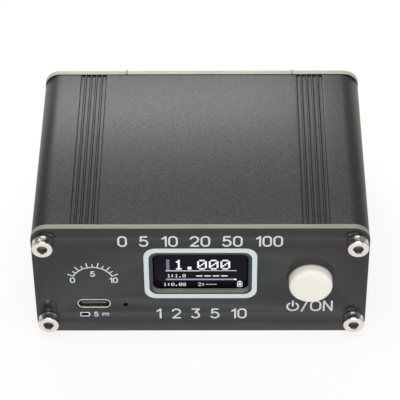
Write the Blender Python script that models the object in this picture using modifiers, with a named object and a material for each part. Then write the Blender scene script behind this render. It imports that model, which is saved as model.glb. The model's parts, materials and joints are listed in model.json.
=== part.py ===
"""Radio power and standing-wave meter in a split aluminium case, with a small display and one button.

Lengths are in metres. The origin is the middle of the case's underside: +X runs to the right of the
front panel, +Y to the back, +Z up.
"""

import math

import bmesh
import bpy
from mathutils import Matrix, Vector

MM = 0.001

# Clearance left wherever one piece touches, seats on or passes through another
GAP = 0.3 * MM
# How far a cutter runs past the faces that it cuts
OVERRUN = 1.0 * MM
# Points nearer than this are one point
WELD = 0.001 * MM
SMOOTH_ANGLE = math.radians(35)

# Case: two like halves of one extrusion, which meet at half height
CASE_WIDTH = 88.0 * MM
CASE_HEIGHT = 38.0 * MM
CASE_LENGTH = 60.6 * MM
CASE_WALL = 1.8 * MM
CASE_CORNER = 5.3 * MM
GROOVE_COUNT = 5
GROOVE_INSET = 10.3 * MM
GROOVE_PITCH = 1.5 * MM
GROOVE_TOP = 1.2 * MM
GROOVE_FLOOR = 0.8 * MM
GROOVE_DEPTH = 0.4 * MM
TONGUE_HEIGHT = 1.5 * MM
SCREW_INSET_X = 3.2 * MM
SCREW_INSET_Z = 4.93 * MM
CHANNEL_MOUTH = 1.4 * MM
CHANNEL_WALL = 1.3 * MM
RAIL_THICKNESS = 1.2 * MM
RAIL_REACH = 2.0 * MM

# End panels
PANEL_THICKNESS = 1.6 * MM
PANEL_CORNER = 4.4 * MM
WINDOW_WIDTH = 25.3 * MM
WINDOW_HEIGHT = 14.0 * MM
WINDOW_RISE = 2.56 * MM
WINDOW_CORNER = 1.8 * MM
NIB_LEFT_INSET = 23.0 * MM
NIB_RIGHT_INSET = 18.7 * MM
NIB_WIDTH = 0.6 * MM
NIB_HEIGHT = 0.5 * MM

# Socket-head screws of the front panel and of the aerial sockets
HEAD_RADIUS = 2.75 * MM
HEAD_HEIGHT = 2.7 * MM
HEAD_CHAMFER = 0.3 * MM
SHANK_RADIUS = 1.2 * MM
SHANK_LENGTH = 8.0 * MM
TIP_CHAMFER = 0.3 * MM
KEY_WIDTH = 2.5 * MM
KEY_DEPTH = 1.3 * MM

# Low domed heads of the rear panel's screws, on the same shank
DOMED_RADIUS = 2.85 * MM
DOMED_HEIGHT = 1.65 * MM
DOMED_RIM = 0.3 * MM
DOMED_KEY_WIDTH = 2.0 * MM
DOMED_KEY_DEPTH = 1.0 * MM

# Main board, held in the lower half's slots
MAIN_BOARD_THICKNESS = 1.2 * MM
MAIN_BOARD_HEIGHT = 7.32 * MM

# Display module: a glass on its own small board, plugged into the front board by a pin header
DISPLAY_X = 0.49 * MM
GLASS_WIDTH = 26.7 * MM
GLASS_HEIGHT = 19.26 * MM
GLASS_THICKNESS = 1.3 * MM
GLASS_SETBACK = 0.4 * MM
GLASS_TOP_BELOW_WINDOW_TOP = 0.66 * MM
DISPLAY_BOARD_WIDTH = 27.3 * MM
DISPLAY_BOARD_THICKNESS = 1.2 * MM
DISPLAY_BOARD_ABOVE_GLASS = 4.2 * MM
DISPLAY_BOARD_BELOW_GLASS = 2.6 * MM
FLEX_WIDTH = 12.0 * MM
FLEX_THICKNESS = 0.2 * MM
FLEX_BACK_HEIGHT = 5.0 * MM
PIN_PITCH = 2.54 * MM
PIN_SIDE = 0.64 * MM
PIN_HOLE_RADIUS = 0.75 * MM
PIN_OVERHANG = 0.8 * MM
PIN_EDGE = 1.5 * MM
DISPLAY_PINS = 4
HEADER_SIDE = 2.5 * MM

# Front board, which stands behind the panel and carries the display and the switch
FRONT_BOARD_THICKNESS = 1.6 * MM
FRONT_BOARD_MARGIN = 2.5 * MM
FRONT_BOARD_SIDE_ROOM = 0.5 * MM
FRONT_BOARD_TOP_ROOM = 0.7 * MM
BOARD_PINS = 6
PIN_LEG_OFFSET = 1.5 * MM

# Push button: cap, plunger, snap dome, and the switch's base and cover
BUTTON_INSET = 15.0 * MM
BUTTON_DROP = 0.1 * MM
BUTTON_TRAVEL = 0.3 * MM
CAP_RADIUS = 5.75 * MM
CAP_ROUND = 1.2 * MM
CAP_PROTRUSION = 2.9 * MM
CAP_FLANGE_RADIUS = 6.5 * MM
CAP_FLANGE_THICKNESS = 0.8 * MM
STEM_SIDE = 3.8 * MM
STEM_LENGTH = 3.4 * MM
NECK_RADIUS = 3.0 * MM
DISC_RADIUS = 3.6 * MM
SWITCH_SIDE = 12.0 * MM
SWITCH_BEVEL = 0.6 * MM
SWITCH_HEIGHT = 3.7 * MM
SWITCH_FLOOR = 0.8 * MM
SWITCH_CAVITY_RADIUS = 4.2 * MM
COVER_THICKNESS = 0.3 * MM
DOME_RADIUS = 3.5 * MM
DOME_HEIGHT = 0.9 * MM
DOME_THICKNESS = 0.15 * MM

# Charging socket and the light behind the pinhole
USB_INSET = 15.55 * MM
USB_WIDTH = 8.94 * MM
USB_HEIGHT = 3.26 * MM
USB_LENGTH = 7.35 * MM
USB_WALL = 0.3 * MM
TONGUE_WIDTH = 6.69 * MM
TONGUE_THICKNESS = 0.7 * MM
TONGUE_SETBACK = 0.4 * MM
TONGUE_BASE_DEPTH = 2.2 * MM
LIGHT_PLACE_SHARE = 0.363
LIGHT_HOLE_RADIUS = 0.65 * MM
LIGHT_HOLE_HEIGHT = 10.1 * MM
LIGHT_WIDTH = 2.0 * MM
LIGHT_DEPTH = 2.0 * MM
LIGHT_HEIGHT = 2.2 * MM

# Chips and diodes on the main board, each with its body over a wider frame of legs
CONTROLLER_SIDE = 7.0 * MM
CONTROLLER_HEIGHT = 1.4 * MM
CONTROLLER_SETBACK = 21.6 * MM
CHARGER_LENGTH = 5.0 * MM
CHARGER_WIDTH = 4.0 * MM
CHARGER_HEIGHT = 1.4 * MM
CHARGER_SETBACK = 13.6 * MM
DETECTOR_LENGTH = 2.9 * MM
DETECTOR_WIDTH = 1.6 * MM
DETECTOR_HEIGHT = 1.1 * MM
DETECTOR_X = -12.0 * MM
DETECTOR_SPACING = 6.0 * MM
LEG_REACH = 1.0 * MM
LEG_THICKNESS = 0.3 * MM

# Battery, stuck under the case's roof, with its leads, plug and socket
BATTERY_LENGTH = 50.0 * MM
BATTERY_DEPTH = 30.0 * MM
BATTERY_THICKNESS = 6.0 * MM
BATTERY_ROUND = 1.5 * MM
BATTERY_X = 2.5 * MM
BATTERY_FRONT_ROOM = 1.5 * MM
PAD_LENGTH = 36.0 * MM
PAD_DEPTH = 18.0 * MM
PAD_THICKNESS = 0.8 * MM
LEAD_RADIUS = 0.6 * MM
LEAD_SPACING = 2.0 * MM
LEAD_STRAIGHT = 1.2 * MM
LEAD_BEND = 4.5 * MM
PLUG_WIDTH = 2.6 * MM
PLUG_DEPTH = 5.8 * MM
PLUG_HEIGHT = 7.0 * MM
JACK_WALL = 0.8 * MM
JACK_FLOOR = 1.0 * MM
JACK_HEIGHT = 6.0 * MM

# Coupler: a through line in one ring core, and a tap from it down through a second
LINE_RADIUS = 0.8 * MM
LINE_BEND = 3.0 * MM
LINE_SETBACK = 6.0 * MM
LINE_ROOM = 0.83 * MM
CORE_OUTER_RADIUS = 6.35 * MM
CORE_INNER_RADIUS = 3.58 * MM
CORE_CHAMFER = 0.4 * MM
CURRENT_CORE_HEIGHT = 4.85 * MM
VOLTAGE_CORE_HEIGHT = 3.3 * MM
VOLTAGE_CORE_X = 12.5 * MM
WIRE_RADIUS = 0.3 * MM
WIRE_CLEARANCE = 0.4 * MM
WIRE_CORNER = 0.6 * MM
WINDING_TURNS = 9
WINDING_SPAN = math.radians(295)
TAP_RADIUS = 0.5 * MM

# Aerial sockets on the rear panel
SOCKET_INSET = 22.0 * MM
SOCKET_DROP = 2.0 * MM
FLANGE_SIDE = 25.4 * MM
FLANGE_THICKNESS = 2.0 * MM
FLANGE_CORNER = 1.5 * MM
FLANGE_HOLE_SPACING = 18.26 * MM
BARREL_RADIUS = 7.94 * MM
BARREL_CHAMFER = 0.6 * MM
BARREL_REACH = 15.5 * MM
BARREL_BORE_RADIUS = 6.0 * MM
BARREL_RELIEF_DEPTH = 0.7 * MM
BARREL_RELIEF_WIDTH = 1.2 * MM
NOTCH_WIDTH = 1.4 * MM
NOTCH_DEPTH = 1.0 * MM
COLLAR_RADIUS = 6.0 * MM
COLLAR_BORE_RADIUS = 4.6 * MM
COLLAR_OVERHANG = 1.0 * MM
INSULATOR_RECESS = 1.5 * MM
INSULATOR_OVERHANG = 0.5 * MM
CONTACT_RADIUS = 2.9 * MM
CONTACT_BORE_RADIUS = 2.0 * MM
CONTACT_BORE_DEPTH = 9.0 * MM
CONTACT_RECESS = 0.3 * MM
CONTACT_BODY_LENGTH = 10.0 * MM
STEM_RADIUS = 1.5 * MM
STEM_REACH = 4.0 * MM
NUT_PLATE_SIDE = 23.6 * MM
NUT_PLATE_THICKNESS = 2.0 * MM

# Facets of the round pieces
ROUND_STEPS = 32
SMALL_STEPS = 20
HOLE_STEPS = 12
PIN_HOLE_STEPS = 6
CORNER_STEPS = 6

# Places that follow from the sizes above
MIDDLE_Z = CASE_HEIGHT / 2
PANEL_INNER_Y = CASE_LENGTH / 2 + GAP
PANEL_OUTER_Y = PANEL_INNER_Y + PANEL_THICKNESS
SCREW_X = CASE_WIDTH / 2 - SCREW_INSET_X
SCREW_RISE = MIDDLE_Z - SCREW_INSET_Z
SCREW_HOLE_RADIUS = SHANK_RADIUS + GAP
BOSS_X = SCREW_X - SCREW_HOLE_RADIUS - CHANNEL_WALL
BOARD_TOP_Z = MAIN_BOARD_HEIGHT + MAIN_BOARD_THICKNESS
ON_BOARD_Z = BOARD_TOP_Z + GAP
ROOF_Z = CASE_HEIGHT - CASE_WALL
WINDOW_Z = MIDDLE_Z + WINDOW_RISE
USB_X = USB_INSET - CASE_WIDTH / 2
USB_Z = ON_BOARD_Z + USB_HEIGHT / 2
BUTTON_X = CASE_WIDTH / 2 - BUTTON_INSET
BUTTON_Z = MIDDLE_Z - BUTTON_DROP
CAP_BACK_Y = -PANEL_INNER_Y + GAP + CAP_FLANGE_THICKNESS
COVER_FRONT_Y = CAP_BACK_Y + BUTTON_TRAVEL + GAP
SWITCH_FRONT_Y = COVER_FRONT_Y + COVER_THICKNESS + GAP
SWITCH_BACK_Y = SWITCH_FRONT_Y + SWITCH_HEIGHT
FRONT_BOARD_FACE_Y = SWITCH_BACK_Y + GAP
FRONT_BOARD_BACK_Y = FRONT_BOARD_FACE_Y + FRONT_BOARD_THICKNESS
GLASS_FACE_Y = -PANEL_INNER_Y + GLASS_SETBACK
GLASS_TOP_Z = WINDOW_Z + WINDOW_HEIGHT / 2 - GLASS_TOP_BELOW_WINDOW_TOP
DISPLAY_BOARD_FACE_Y = GLASS_FACE_Y + GLASS_THICKNESS + GAP
DISPLAY_BOARD_BACK_Y = DISPLAY_BOARD_FACE_Y + DISPLAY_BOARD_THICKNESS
DISPLAY_BOARD_TOP_Z = GLASS_TOP_Z + DISPLAY_BOARD_ABOVE_GLASS
DISPLAY_BOARD_HEIGHT = DISPLAY_BOARD_ABOVE_GLASS + GLASS_HEIGHT + DISPLAY_BOARD_BELOW_GLASS
DISPLAY_BOARD_Z = DISPLAY_BOARD_TOP_Z - DISPLAY_BOARD_HEIGHT / 2
DISPLAY_BOARD_LEFT = DISPLAY_X - DISPLAY_BOARD_WIDTH / 2
USB_RIGHT = USB_X + USB_WIDTH / 2
LIGHT_X = USB_RIGHT + (DISPLAY_BOARD_LEFT - USB_RIGHT) * LIGHT_PLACE_SHARE
DISPLAY_PIN_Z = DISPLAY_BOARD_TOP_Z - PIN_EDGE
FRONT_BOARD_RIGHT = BOSS_X - FRONT_BOARD_SIDE_ROOM
FRONT_BOARD_TOP_Z = ROOF_Z - FRONT_BOARD_TOP_ROOM
FRONT_BOARD_LEFT = DISPLAY_BOARD_LEFT - FRONT_BOARD_MARGIN
FRONT_BOARD_X = (FRONT_BOARD_LEFT + FRONT_BOARD_RIGHT) / 2
BOARD_PIN_Z = ON_BOARD_Z + HEADER_SIDE / 2
BOARD_PIN_LEG_Y = FRONT_BOARD_BACK_Y + GAP + HEADER_SIDE + PIN_LEG_OFFSET
SOCKET_X = CASE_WIDTH / 2 - SOCKET_INSET
SOCKET_Z = MIDDLE_Z - SOCKET_DROP
FLANGE_INNER_Y = PANEL_OUTER_Y + GAP
FLANGE_OUTER_Y = FLANGE_INNER_Y + FLANGE_THICKNESS
BARREL_END_Y = PANEL_OUTER_Y + BARREL_REACH
NUT_PLATE_FRONT_Y = PANEL_INNER_Y - GAP - NUT_PLATE_THICKNESS
COLLAR_END_Y = NUT_PLATE_FRONT_Y - COLLAR_OVERHANG
INSULATOR_END_Y = COLLAR_END_Y - INSULATOR_OVERHANG
CONTACT_END_Y = INSULATOR_END_Y - STEM_REACH
INSULATOR_FACE_Y = BARREL_END_Y - INSULATOR_RECESS
CONTACT_FACE_Y = INSULATOR_FACE_Y - CONTACT_RECESS
LINE_Y = CONTACT_END_Y - LINE_SETBACK
LINE_Z = ON_BOARD_Z + LINE_ROOM + CORE_OUTER_RADIUS + WIRE_CLEARANCE + 2 * WIRE_RADIUS
BATTERY_Z = ROOF_Z - GAP - PAD_THICKNESS - GAP - BATTERY_THICKNESS / 2
BATTERY_Y = FRONT_BOARD_BACK_Y + BATTERY_FRONT_ROOM + BATTERY_DEPTH / 2
BATTERY_END_X = BATTERY_X - BATTERY_LENGTH / 2
JACK_X = BATTERY_END_X - GAP - LEAD_STRAIGHT - LEAD_BEND
PLUG_BOTTOM_Z = ON_BOARD_Z + JACK_FLOOR + GAP

FACING_FRONT = (math.radians(90), 0, 0)
FACING_BACK = (math.radians(-90), 0, 0)
UPRIGHT = (0, 0, 0)


def clear_scene():
    for thing in list(bpy.data.objects):
        bpy.data.objects.remove(thing, do_unlink=True)


def collection_named(name):
    found = bpy.data.collections.new(name)
    bpy.context.scene.collection.children.link(found)
    return found


def finish(name, colour, roughness, metallic=0.0):
    """A Principled material."""
    material = bpy.data.materials.new(name)
    material.use_nodes = True
    shader = material.node_tree.nodes["Principled BSDF"]
    shader.inputs["Base Color"].default_value = (*colour, 1.0)
    shader.inputs["Roughness"].default_value = roughness
    shader.inputs["Metallic"].default_value = metallic
    return material


def make_finishes():
    """Every finish of the part by name."""
    return {
        "anodised": finish("anodised", (0.06, 0.06, 0.062), 0.45, 0.6),
        "solder_mask": finish("solder_mask", (0.03, 0.03, 0.033), 0.3),
        "screw_steel": finish("screw_steel", (0.72, 0.7, 0.67), 0.25, 1.0),
        "green_board": finish("green_board", (0.02, 0.16, 0.07), 0.45),
        "display_board": finish("display_board", (0.02, 0.05, 0.2), 0.45),
        "display_glass": finish("display_glass", (0.008, 0.007, 0.012), 0.08),
        "flex": finish("flex", (0.45, 0.22, 0.05), 0.4),
        "header": finish("header", (0.02, 0.02, 0.02), 0.5),
        "cap": finish("cap", (0.9, 0.87, 0.78), 0.4),
        "switch": finish("switch", (0.03, 0.03, 0.03), 0.5),
        "spring_steel": finish("spring_steel", (0.7, 0.7, 0.68), 0.3, 1.0),
        "usb_steel": finish("usb_steel", (0.75, 0.74, 0.7), 0.25, 1.0),
        "usb_tongue": finish("usb_tongue", (0.03, 0.03, 0.03), 0.5),
        "light": finish("light", (0.85, 0.85, 0.8), 0.2),
        "chip": finish("chip", (0.03, 0.03, 0.035), 0.5),
        "battery": finish("battery", (0.6, 0.62, 0.65), 0.4, 0.4),
        "foam": finish("foam", (0.08, 0.08, 0.08), 0.9),
        "nylon": finish("nylon", (0.88, 0.86, 0.8), 0.5),
        "red_lead": finish("red_lead", (0.6, 0.03, 0.03), 0.5),
        "black_lead": finish("black_lead", (0.02, 0.02, 0.02), 0.5),
        "ferrite": finish("ferrite", (0.06, 0.06, 0.065), 0.7),
        "copper": finish("copper", (0.6, 0.22, 0.08), 0.3, 1.0),
        "nickel": finish("nickel", (0.72, 0.71, 0.68), 0.22, 1.0),
        "ptfe": finish("ptfe", (0.88, 0.87, 0.84), 0.5),
        "gold": finish("gold", (0.85, 0.6, 0.22), 0.25, 1.0),
    }


def new_object(name, data):
    made = bpy.data.objects.new(name, data)
    PARTS.objects.link(made)
    return made


def baked(maker):
    """Swaps an object for one whose plain mesh is the shape that its curve or modifiers gave it."""
    graph = bpy.context.evaluated_depsgraph_get()
    mesh = bpy.data.meshes.new_from_object(maker.evaluated_get(graph), depsgraph=graph)
    shape = bmesh.new()
    shape.from_mesh(mesh)
    bmesh.ops.remove_doubles(shape, verts=shape.verts, dist=WELD)
    shape.to_mesh(mesh)
    shape.free()
    name = maker.name
    bpy.data.objects.remove(maker, do_unlink=True)
    mesh.name = name
    return new_object(name, mesh)


def combined(base, other, operation):
    """The base with another object joined to it or cut out of it. The other is used up."""
    change = base.modifiers.new(operation.lower(), "BOOLEAN")
    change.operation = operation
    change.solver = "EXACT"
    change.object = other
    result = baked(base)
    bpy.data.objects.remove(other, do_unlink=True)
    return result


def cut(base, cutter):
    return combined(base, cutter, "DIFFERENCE")


def join(base, other):
    return combined(base, other, "UNION")


def moved(piece, offset, turn=UPRIGHT):
    """Moves a shape within its own mesh, before it is joined or used as a cutter."""
    matrix = Matrix.Translation(Vector(offset))
    for angle, axis in zip(turn, "XYZ"):
        matrix = matrix @ Matrix.Rotation(angle, 4, axis)
    piece.data.transform(matrix)
    return piece


def plate(name, outlines, thickness):
    """A flat outline with its holes, made solid about its own middle plane."""
    curve = bpy.data.curves.new(name, "CURVE")
    curve.dimensions = "2D"
    curve.fill_mode = "BOTH"
    curve.extrude = thickness / 2
    for outline in outlines:
        spline = curve.splines.new("POLY")
        spline.points.add(len(outline) - 1)
        for point, (x, y) in zip(spline.points, outline):
            point.co = (x, y, 0, 1)
        spline.use_cyclic_u = True
    return baked(new_object(name, curve))


def side_plate(name, outline, width):
    """A plate whose outline is drawn in Y and Z, and whose thickness is its width along X."""
    made = plate(name, [outline], width)
    quarter = math.radians(90)
    made.data.transform(Matrix.Rotation(quarter, 4, "Z") @ Matrix.Rotation(quarter, 4, "X"))
    return made


def block(name, size, bevel=0):
    """A box about its own middle, with its edges bevelled where a bevel is given."""
    mesh = bpy.data.meshes.new(name)
    shape = bmesh.new()
    bmesh.ops.create_cube(shape, size=1)
    bmesh.ops.scale(shape, vec=size, verts=shape.verts)
    shape.to_mesh(mesh)
    shape.free()
    made = new_object(name, mesh)
    if not bevel:
        return made
    edges = made.modifiers.new("bevel", "BEVEL")
    edges.width = bevel
    edges.segments = 2
    return baked(made)


def prism(name, sides, radius, height):
    """An upright prism or cylinder that stands on its own origin."""
    mesh = bpy.data.meshes.new(name)
    shape = bmesh.new()
    lift = Matrix.Translation((0, 0, height / 2))
    bmesh.ops.create_cone(
        shape, cap_ends=True, segments=sides, radius1=radius, radius2=radius, depth=height, matrix=lift
    )
    shape.to_mesh(mesh)
    shape.free()
    return new_object(name, mesh)


def turned(name, profile, steps, closed=False):
    """A shape turned about Z. The profile's points are (radius, height), down the outer side."""
    mesh = bpy.data.meshes.new(name)
    shape = bmesh.new()
    rings = [shape.verts.new((radius, 0, height)) for radius, height in profile]
    for first, second in zip(rings, rings[1:]):
        shape.edges.new((first, second))
    if closed:
        shape.edges.new((rings[-1], rings[0]))
    shape.to_mesh(mesh)
    shape.free()
    made = new_object(name, mesh)
    turn = made.modifiers.new("turn", "SCREW")
    turn.steps = steps
    turn.render_steps = steps
    turn.use_merge_vertices = True
    turn.merge_threshold = WELD
    return baked(made)


def tube(name, points, radius, resolution):
    """A wire along a list of points, with flat ends."""
    curve = bpy.data.curves.new(name, "CURVE")
    curve.dimensions = "3D"
    curve.bevel_depth = radius
    curve.bevel_resolution = resolution
    curve.use_fill_caps = True
    spline = curve.splines.new("POLY")
    spline.points.add(len(points) - 1)
    for point, place in zip(spline.points, points):
        point.co = (*place, 1)
    return baked(new_object(name, curve))


def place(piece, location, turn=UPRIGHT, look=None, parent=None):
    """Puts a finished piece in its place and gives it its material and its smooth shading."""
    piece.data.shade_smooth()
    piece.data.set_sharp_from_angle(angle=SMOOTH_ANGLE)
    if look:
        piece.data.materials.clear()
        piece.data.materials.append(look)
    piece.rotation_euler = turn
    piece.location = location
    if parent:
        piece.parent = parent
        piece.location = Vector(location) - parent.location
    return piece


def twin(piece, name, location, turn=UPRIGHT):
    """Another piece that shares this one's mesh."""
    other = new_object(name, piece.data)
    other.rotation_euler = turn
    other.location = location
    return other


def arc(centre, radius, start, end, steps):
    """Points from one angle to another, in degrees, both ends included."""
    points = []
    for step in range(steps + 1):
        angle = math.radians(start + (end - start) * step / steps)
        points.append((centre[0] + radius * math.cos(angle), centre[1] + radius * math.sin(angle)))
    return points


def circle(centre, radius, steps=HOLE_STEPS):
    return arc(centre, radius, 0, 360, steps)[:-1]


def rounded(centre, width, height, corner, steps=CORNER_STEPS):
    """A rectangle with round corners."""
    x, y = width / 2 - corner, height / 2 - corner
    outline = []
    for side_x, side_y, start in ((1, 1, 0), (-1, 1, 90), (-1, -1, 180), (1, -1, 270)):
        middle = (centre[0] + side_x * x, centre[1] + side_y * y)
        outline += arc(middle, corner, start, start + 90, steps)
    return outline


def sphere_of_cap(radius, rise):
    """The radius of the sphere that a cap is cut from, and half the angle that the cap spans, in degrees."""
    sphere = (radius**2 + rise**2) / (2 * rise)
    return sphere, math.degrees(math.asin(radius / sphere))


def mirrored(points):
    """The same points left to right, in the order that keeps an outline running one way."""
    return [(-x, y) for x, y in reversed(points)]


def groove_points(centre):
    """One groove of the case, from its outer edge to its inner one, below the case's middle."""
    base = -MIDDLE_Z
    return [
        (centre + GROOVE_TOP / 2, base),
        (centre + GROOVE_FLOOR / 2, base + GROOVE_DEPTH),
        (centre - GROOVE_FLOOR / 2, base + GROOVE_DEPTH),
        (centre - GROOVE_TOP / 2, base),
    ]


def case_outer_points():
    """The right half of the underside, from the corner's top to the groove nearest the middle."""
    corner = (CASE_WIDTH / 2 - CASE_CORNER, CASE_CORNER - MIDDLE_Z)
    points = arc(corner, CASE_CORNER, 0, -90, CORNER_STEPS)
    first = CASE_WIDTH / 2 - GROOVE_INSET - GROOVE_TOP / 2
    for number in range(GROOVE_COUNT):
        points += groove_points(first - number * GROOVE_PITCH)
    return points


def case_inner_points():
    """The right inner side, from the floor up: screw channel, slot for the board, and its upper rail."""
    wall = CASE_WIDTH / 2 - CASE_WALL
    floor = CASE_WALL - MIDDLE_Z
    screw = (SCREW_X, -SCREW_RISE)
    mouth = math.degrees(math.asin(CHANNEL_MOUTH / 2 / SCREW_HOLE_RADIUS))
    slot_bottom = MAIN_BOARD_HEIGHT - GAP - MIDDLE_Z
    slot_top = BOARD_TOP_Z + GAP - MIDDLE_Z
    rail_top = slot_top + RAIL_THICKNESS
    return [
        (BOSS_X, floor),
        (BOSS_X, screw[1] - CHANNEL_MOUTH / 2),
        *arc(screw, SCREW_HOLE_RADIUS, mouth - 180, 180 - mouth, HOLE_STEPS),
        (BOSS_X, screw[1] + CHANNEL_MOUTH / 2),
        (BOSS_X, slot_bottom),
        (wall, slot_bottom),
        (wall, slot_top),
        (wall - RAIL_REACH, slot_top),
        (wall - RAIL_REACH, rail_top),
        (wall, rail_top),
    ]


def case_outline():
    """The lower half seen from the front, about the middle of the whole case.

    Its left edge ends in a tongue and its right edge in a rebate, so the same shape turned half a turn
    is the upper half.
    """
    side = CASE_WIDTH / 2
    lip = (CASE_WALL - GAP) / 2
    outer = case_outer_points()
    inner = case_inner_points()
    rebate = [
        (side - CASE_WALL, -TONGUE_HEIGHT - GAP),
        (side - lip, -TONGUE_HEIGHT - GAP),
        (side - lip, -GAP / 2),
        (side, -GAP / 2),
    ]
    tongue = [
        (-side, -GAP / 2),
        (-side + CASE_WALL - lip, -GAP / 2),
        (-side + CASE_WALL - lip, TONGUE_HEIGHT),
        (-side + CASE_WALL, TONGUE_HEIGHT),
    ]
    return outer + mirrored(outer) + tongue + mirrored(inner) + inner + rebate


def screw_places():
    return [(x * SCREW_X, z * SCREW_RISE) for x in (-1, 1) for z in (-1, 1)]


def panel_outlines(top=()):
    """The panel about its own middle, with its four screw holes and any points along its top edge."""
    corners = rounded((0, 0), CASE_WIDTH, CASE_HEIGHT, PANEL_CORNER)
    first = corners[: CORNER_STEPS + 1]
    rest = corners[CORNER_STEPS + 1 :]
    return [first + list(top) + rest] + [circle(spot, SCREW_HOLE_RADIUS) for spot in screw_places()]


def nib_points():
    """The two stubs on the rear panel's top edge, where it broke off its frame, from right to left."""
    top = CASE_HEIGHT / 2
    points = []
    for x in (CASE_WIDTH / 2 - NIB_RIGHT_INSET, NIB_LEFT_INSET - CASE_WIDTH / 2):
        points.append((x + NIB_WIDTH / 2, top))
        points.append((x + NIB_WIDTH / 4, top + NIB_HEIGHT))
        points.append((x - NIB_WIDTH / 4, top + NIB_HEIGHT))
        points.append((x - NIB_WIDTH / 2, top))
    return points


def front_openings():
    """The window, the charging slot, the pinhole and the button's hole."""
    slot_height = USB_HEIGHT + 2 * GAP
    return [
        rounded((0, WINDOW_RISE), WINDOW_WIDTH, WINDOW_HEIGHT, WINDOW_CORNER, 3),
        rounded((USB_X, USB_Z - MIDDLE_Z), USB_WIDTH + 2 * GAP, slot_height, slot_height / 2),
        circle((LIGHT_X, LIGHT_HOLE_HEIGHT - MIDDLE_Z), LIGHT_HOLE_RADIUS),
        circle((BUTTON_X, BUTTON_Z - MIDDLE_Z), CAP_RADIUS + GAP, ROUND_STEPS),
    ]


def flange_hole_places():
    half = FLANGE_HOLE_SPACING / 2
    return [(x * half, z * half) for x in (-1, 1) for z in (-1, 1)]


def rear_openings():
    """The holes of both aerial sockets: one for the collar and four for screws, each."""
    holes = []
    for side in (-1, 1):
        middle = (side * SOCKET_X, SOCKET_Z - MIDDLE_Z)
        holes.append(circle(middle, COLLAR_RADIUS + GAP, ROUND_STEPS))
        for x, z in flange_hole_places():
            holes.append(circle((middle[0] + x, middle[1] + z), SCREW_HOLE_RADIUS))
    return holes


def make_case(looks):
    """Both halves and both end panels."""
    lower = plate("case_bottom", [case_outline()], CASE_LENGTH)
    place(lower, (0, 0, MIDDLE_Z), FACING_FRONT, looks["anodised"])
    half_turn = (FACING_FRONT[0], math.radians(180), 0)
    twin(lower, "case_top", (0, 0, MIDDLE_Z), half_turn)
    panel_y = PANEL_INNER_Y + PANEL_THICKNESS / 2
    front = plate("front_panel", panel_outlines() + front_openings(), PANEL_THICKNESS)
    place(front, (0, -panel_y, MIDDLE_Z), FACING_FRONT, looks["solder_mask"])
    rear = plate("rear_panel", panel_outlines(nib_points()) + rear_openings(), PANEL_THICKNESS)
    place(rear, (0, panel_y, MIDDLE_Z), FACING_FRONT, looks["solder_mask"])


def make_screw(name, head, key_width, key_depth, shank_length):
    """A screw that points down, with the underside of its head at its origin.

    The head is half of its outline, from the middle of its top to the foot of its rim.
    """
    height = head[0][1]
    profile = head + [
        (SHANK_RADIUS, 0),
        (SHANK_RADIUS, TIP_CHAMFER - shank_length),
        (SHANK_RADIUS - TIP_CHAMFER, -shank_length),
        (0, -shank_length),
    ]
    body = turned(name, profile, SMALL_STEPS)
    key_radius = key_width / 2 / math.cos(math.radians(30))
    key = prism("key", 6, key_radius, key_depth + OVERRUN)
    return cut(body, moved(key, (0, 0, height - key_depth)))


def make_socket_screw(name, shank_length):
    """A screw with a tall cylindrical head."""
    head = [
        (0, HEAD_HEIGHT),
        (HEAD_RADIUS - HEAD_CHAMFER, HEAD_HEIGHT),
        (HEAD_RADIUS, HEAD_HEIGHT - HEAD_CHAMFER),
        (HEAD_RADIUS, 0),
    ]
    return make_screw(name, head, KEY_WIDTH, KEY_DEPTH, shank_length)


def make_domed_screw(name, shank_length):
    """A screw with a low domed head."""
    sphere, half_angle = sphere_of_cap(DOMED_RADIUS, DOMED_HEIGHT - DOMED_RIM)
    dome = arc((0, DOMED_HEIGHT - sphere), sphere, 90, 90 - half_angle, CORNER_STEPS)
    head = [(0, DOMED_HEIGHT)] + dome[1:] + [(DOMED_RADIUS, 0)]
    return make_screw(name, head, DOMED_KEY_WIDTH, DOMED_KEY_DEPTH, shank_length)


def make_case_screws(looks):
    """Four screws in front and four behind, which hold the panels to the case halves."""
    rows = (("front", -1, FACING_FRONT, make_socket_screw), ("rear", 1, FACING_BACK, make_domed_screw))
    for row, side, turn, make in rows:
        screw = make(f"{row}_screw_1", SHANK_LENGTH)
        for number, (x, rise) in enumerate(screw_places(), 1):
            spot = (x, side * (PANEL_OUTER_Y + GAP), MIDDLE_Z + rise)
            if number == 1:
                place(screw, spot, turn, looks["screw_steel"])
            else:
                twin(screw, f"{row}_screw_{number}", spot, turn)


def pin_places(count):
    return [(number - (count - 1) / 2) * PIN_PITCH for number in range(count)]


def make_main_board(looks):
    """The board in the lower half's slots, cut away in front for the display module."""
    half = CASE_WIDTH / 2 - CASE_WALL - GAP
    front = -PANEL_INNER_Y + GAP
    back = NUT_PLATE_FRONT_Y - GAP
    notch_left = DISPLAY_X - DISPLAY_BOARD_WIDTH / 2 - 2 * GAP
    notch_right = DISPLAY_X + DISPLAY_BOARD_WIDTH / 2 + 2 * GAP
    notch_back = DISPLAY_BOARD_BACK_Y + FLEX_THICKNESS + 3 * GAP
    outline = [
        (-half, front),
        (notch_left, front),
        (notch_left, notch_back),
        (notch_right, notch_back),
        (notch_right, front),
        (half, front),
        (half, back),
        (-half, back),
    ]
    holes = []
    for x in pin_places(BOARD_PINS):
        holes.append(circle((FRONT_BOARD_X + x, BOARD_PIN_LEG_Y), PIN_HOLE_RADIUS, PIN_HOLE_STEPS))
    board = plate("main_board", [outline] + holes, MAIN_BOARD_THICKNESS)
    place(board, (0, 0, MAIN_BOARD_HEIGHT + MAIN_BOARD_THICKNESS / 2), UPRIGHT, looks["green_board"])


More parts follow.
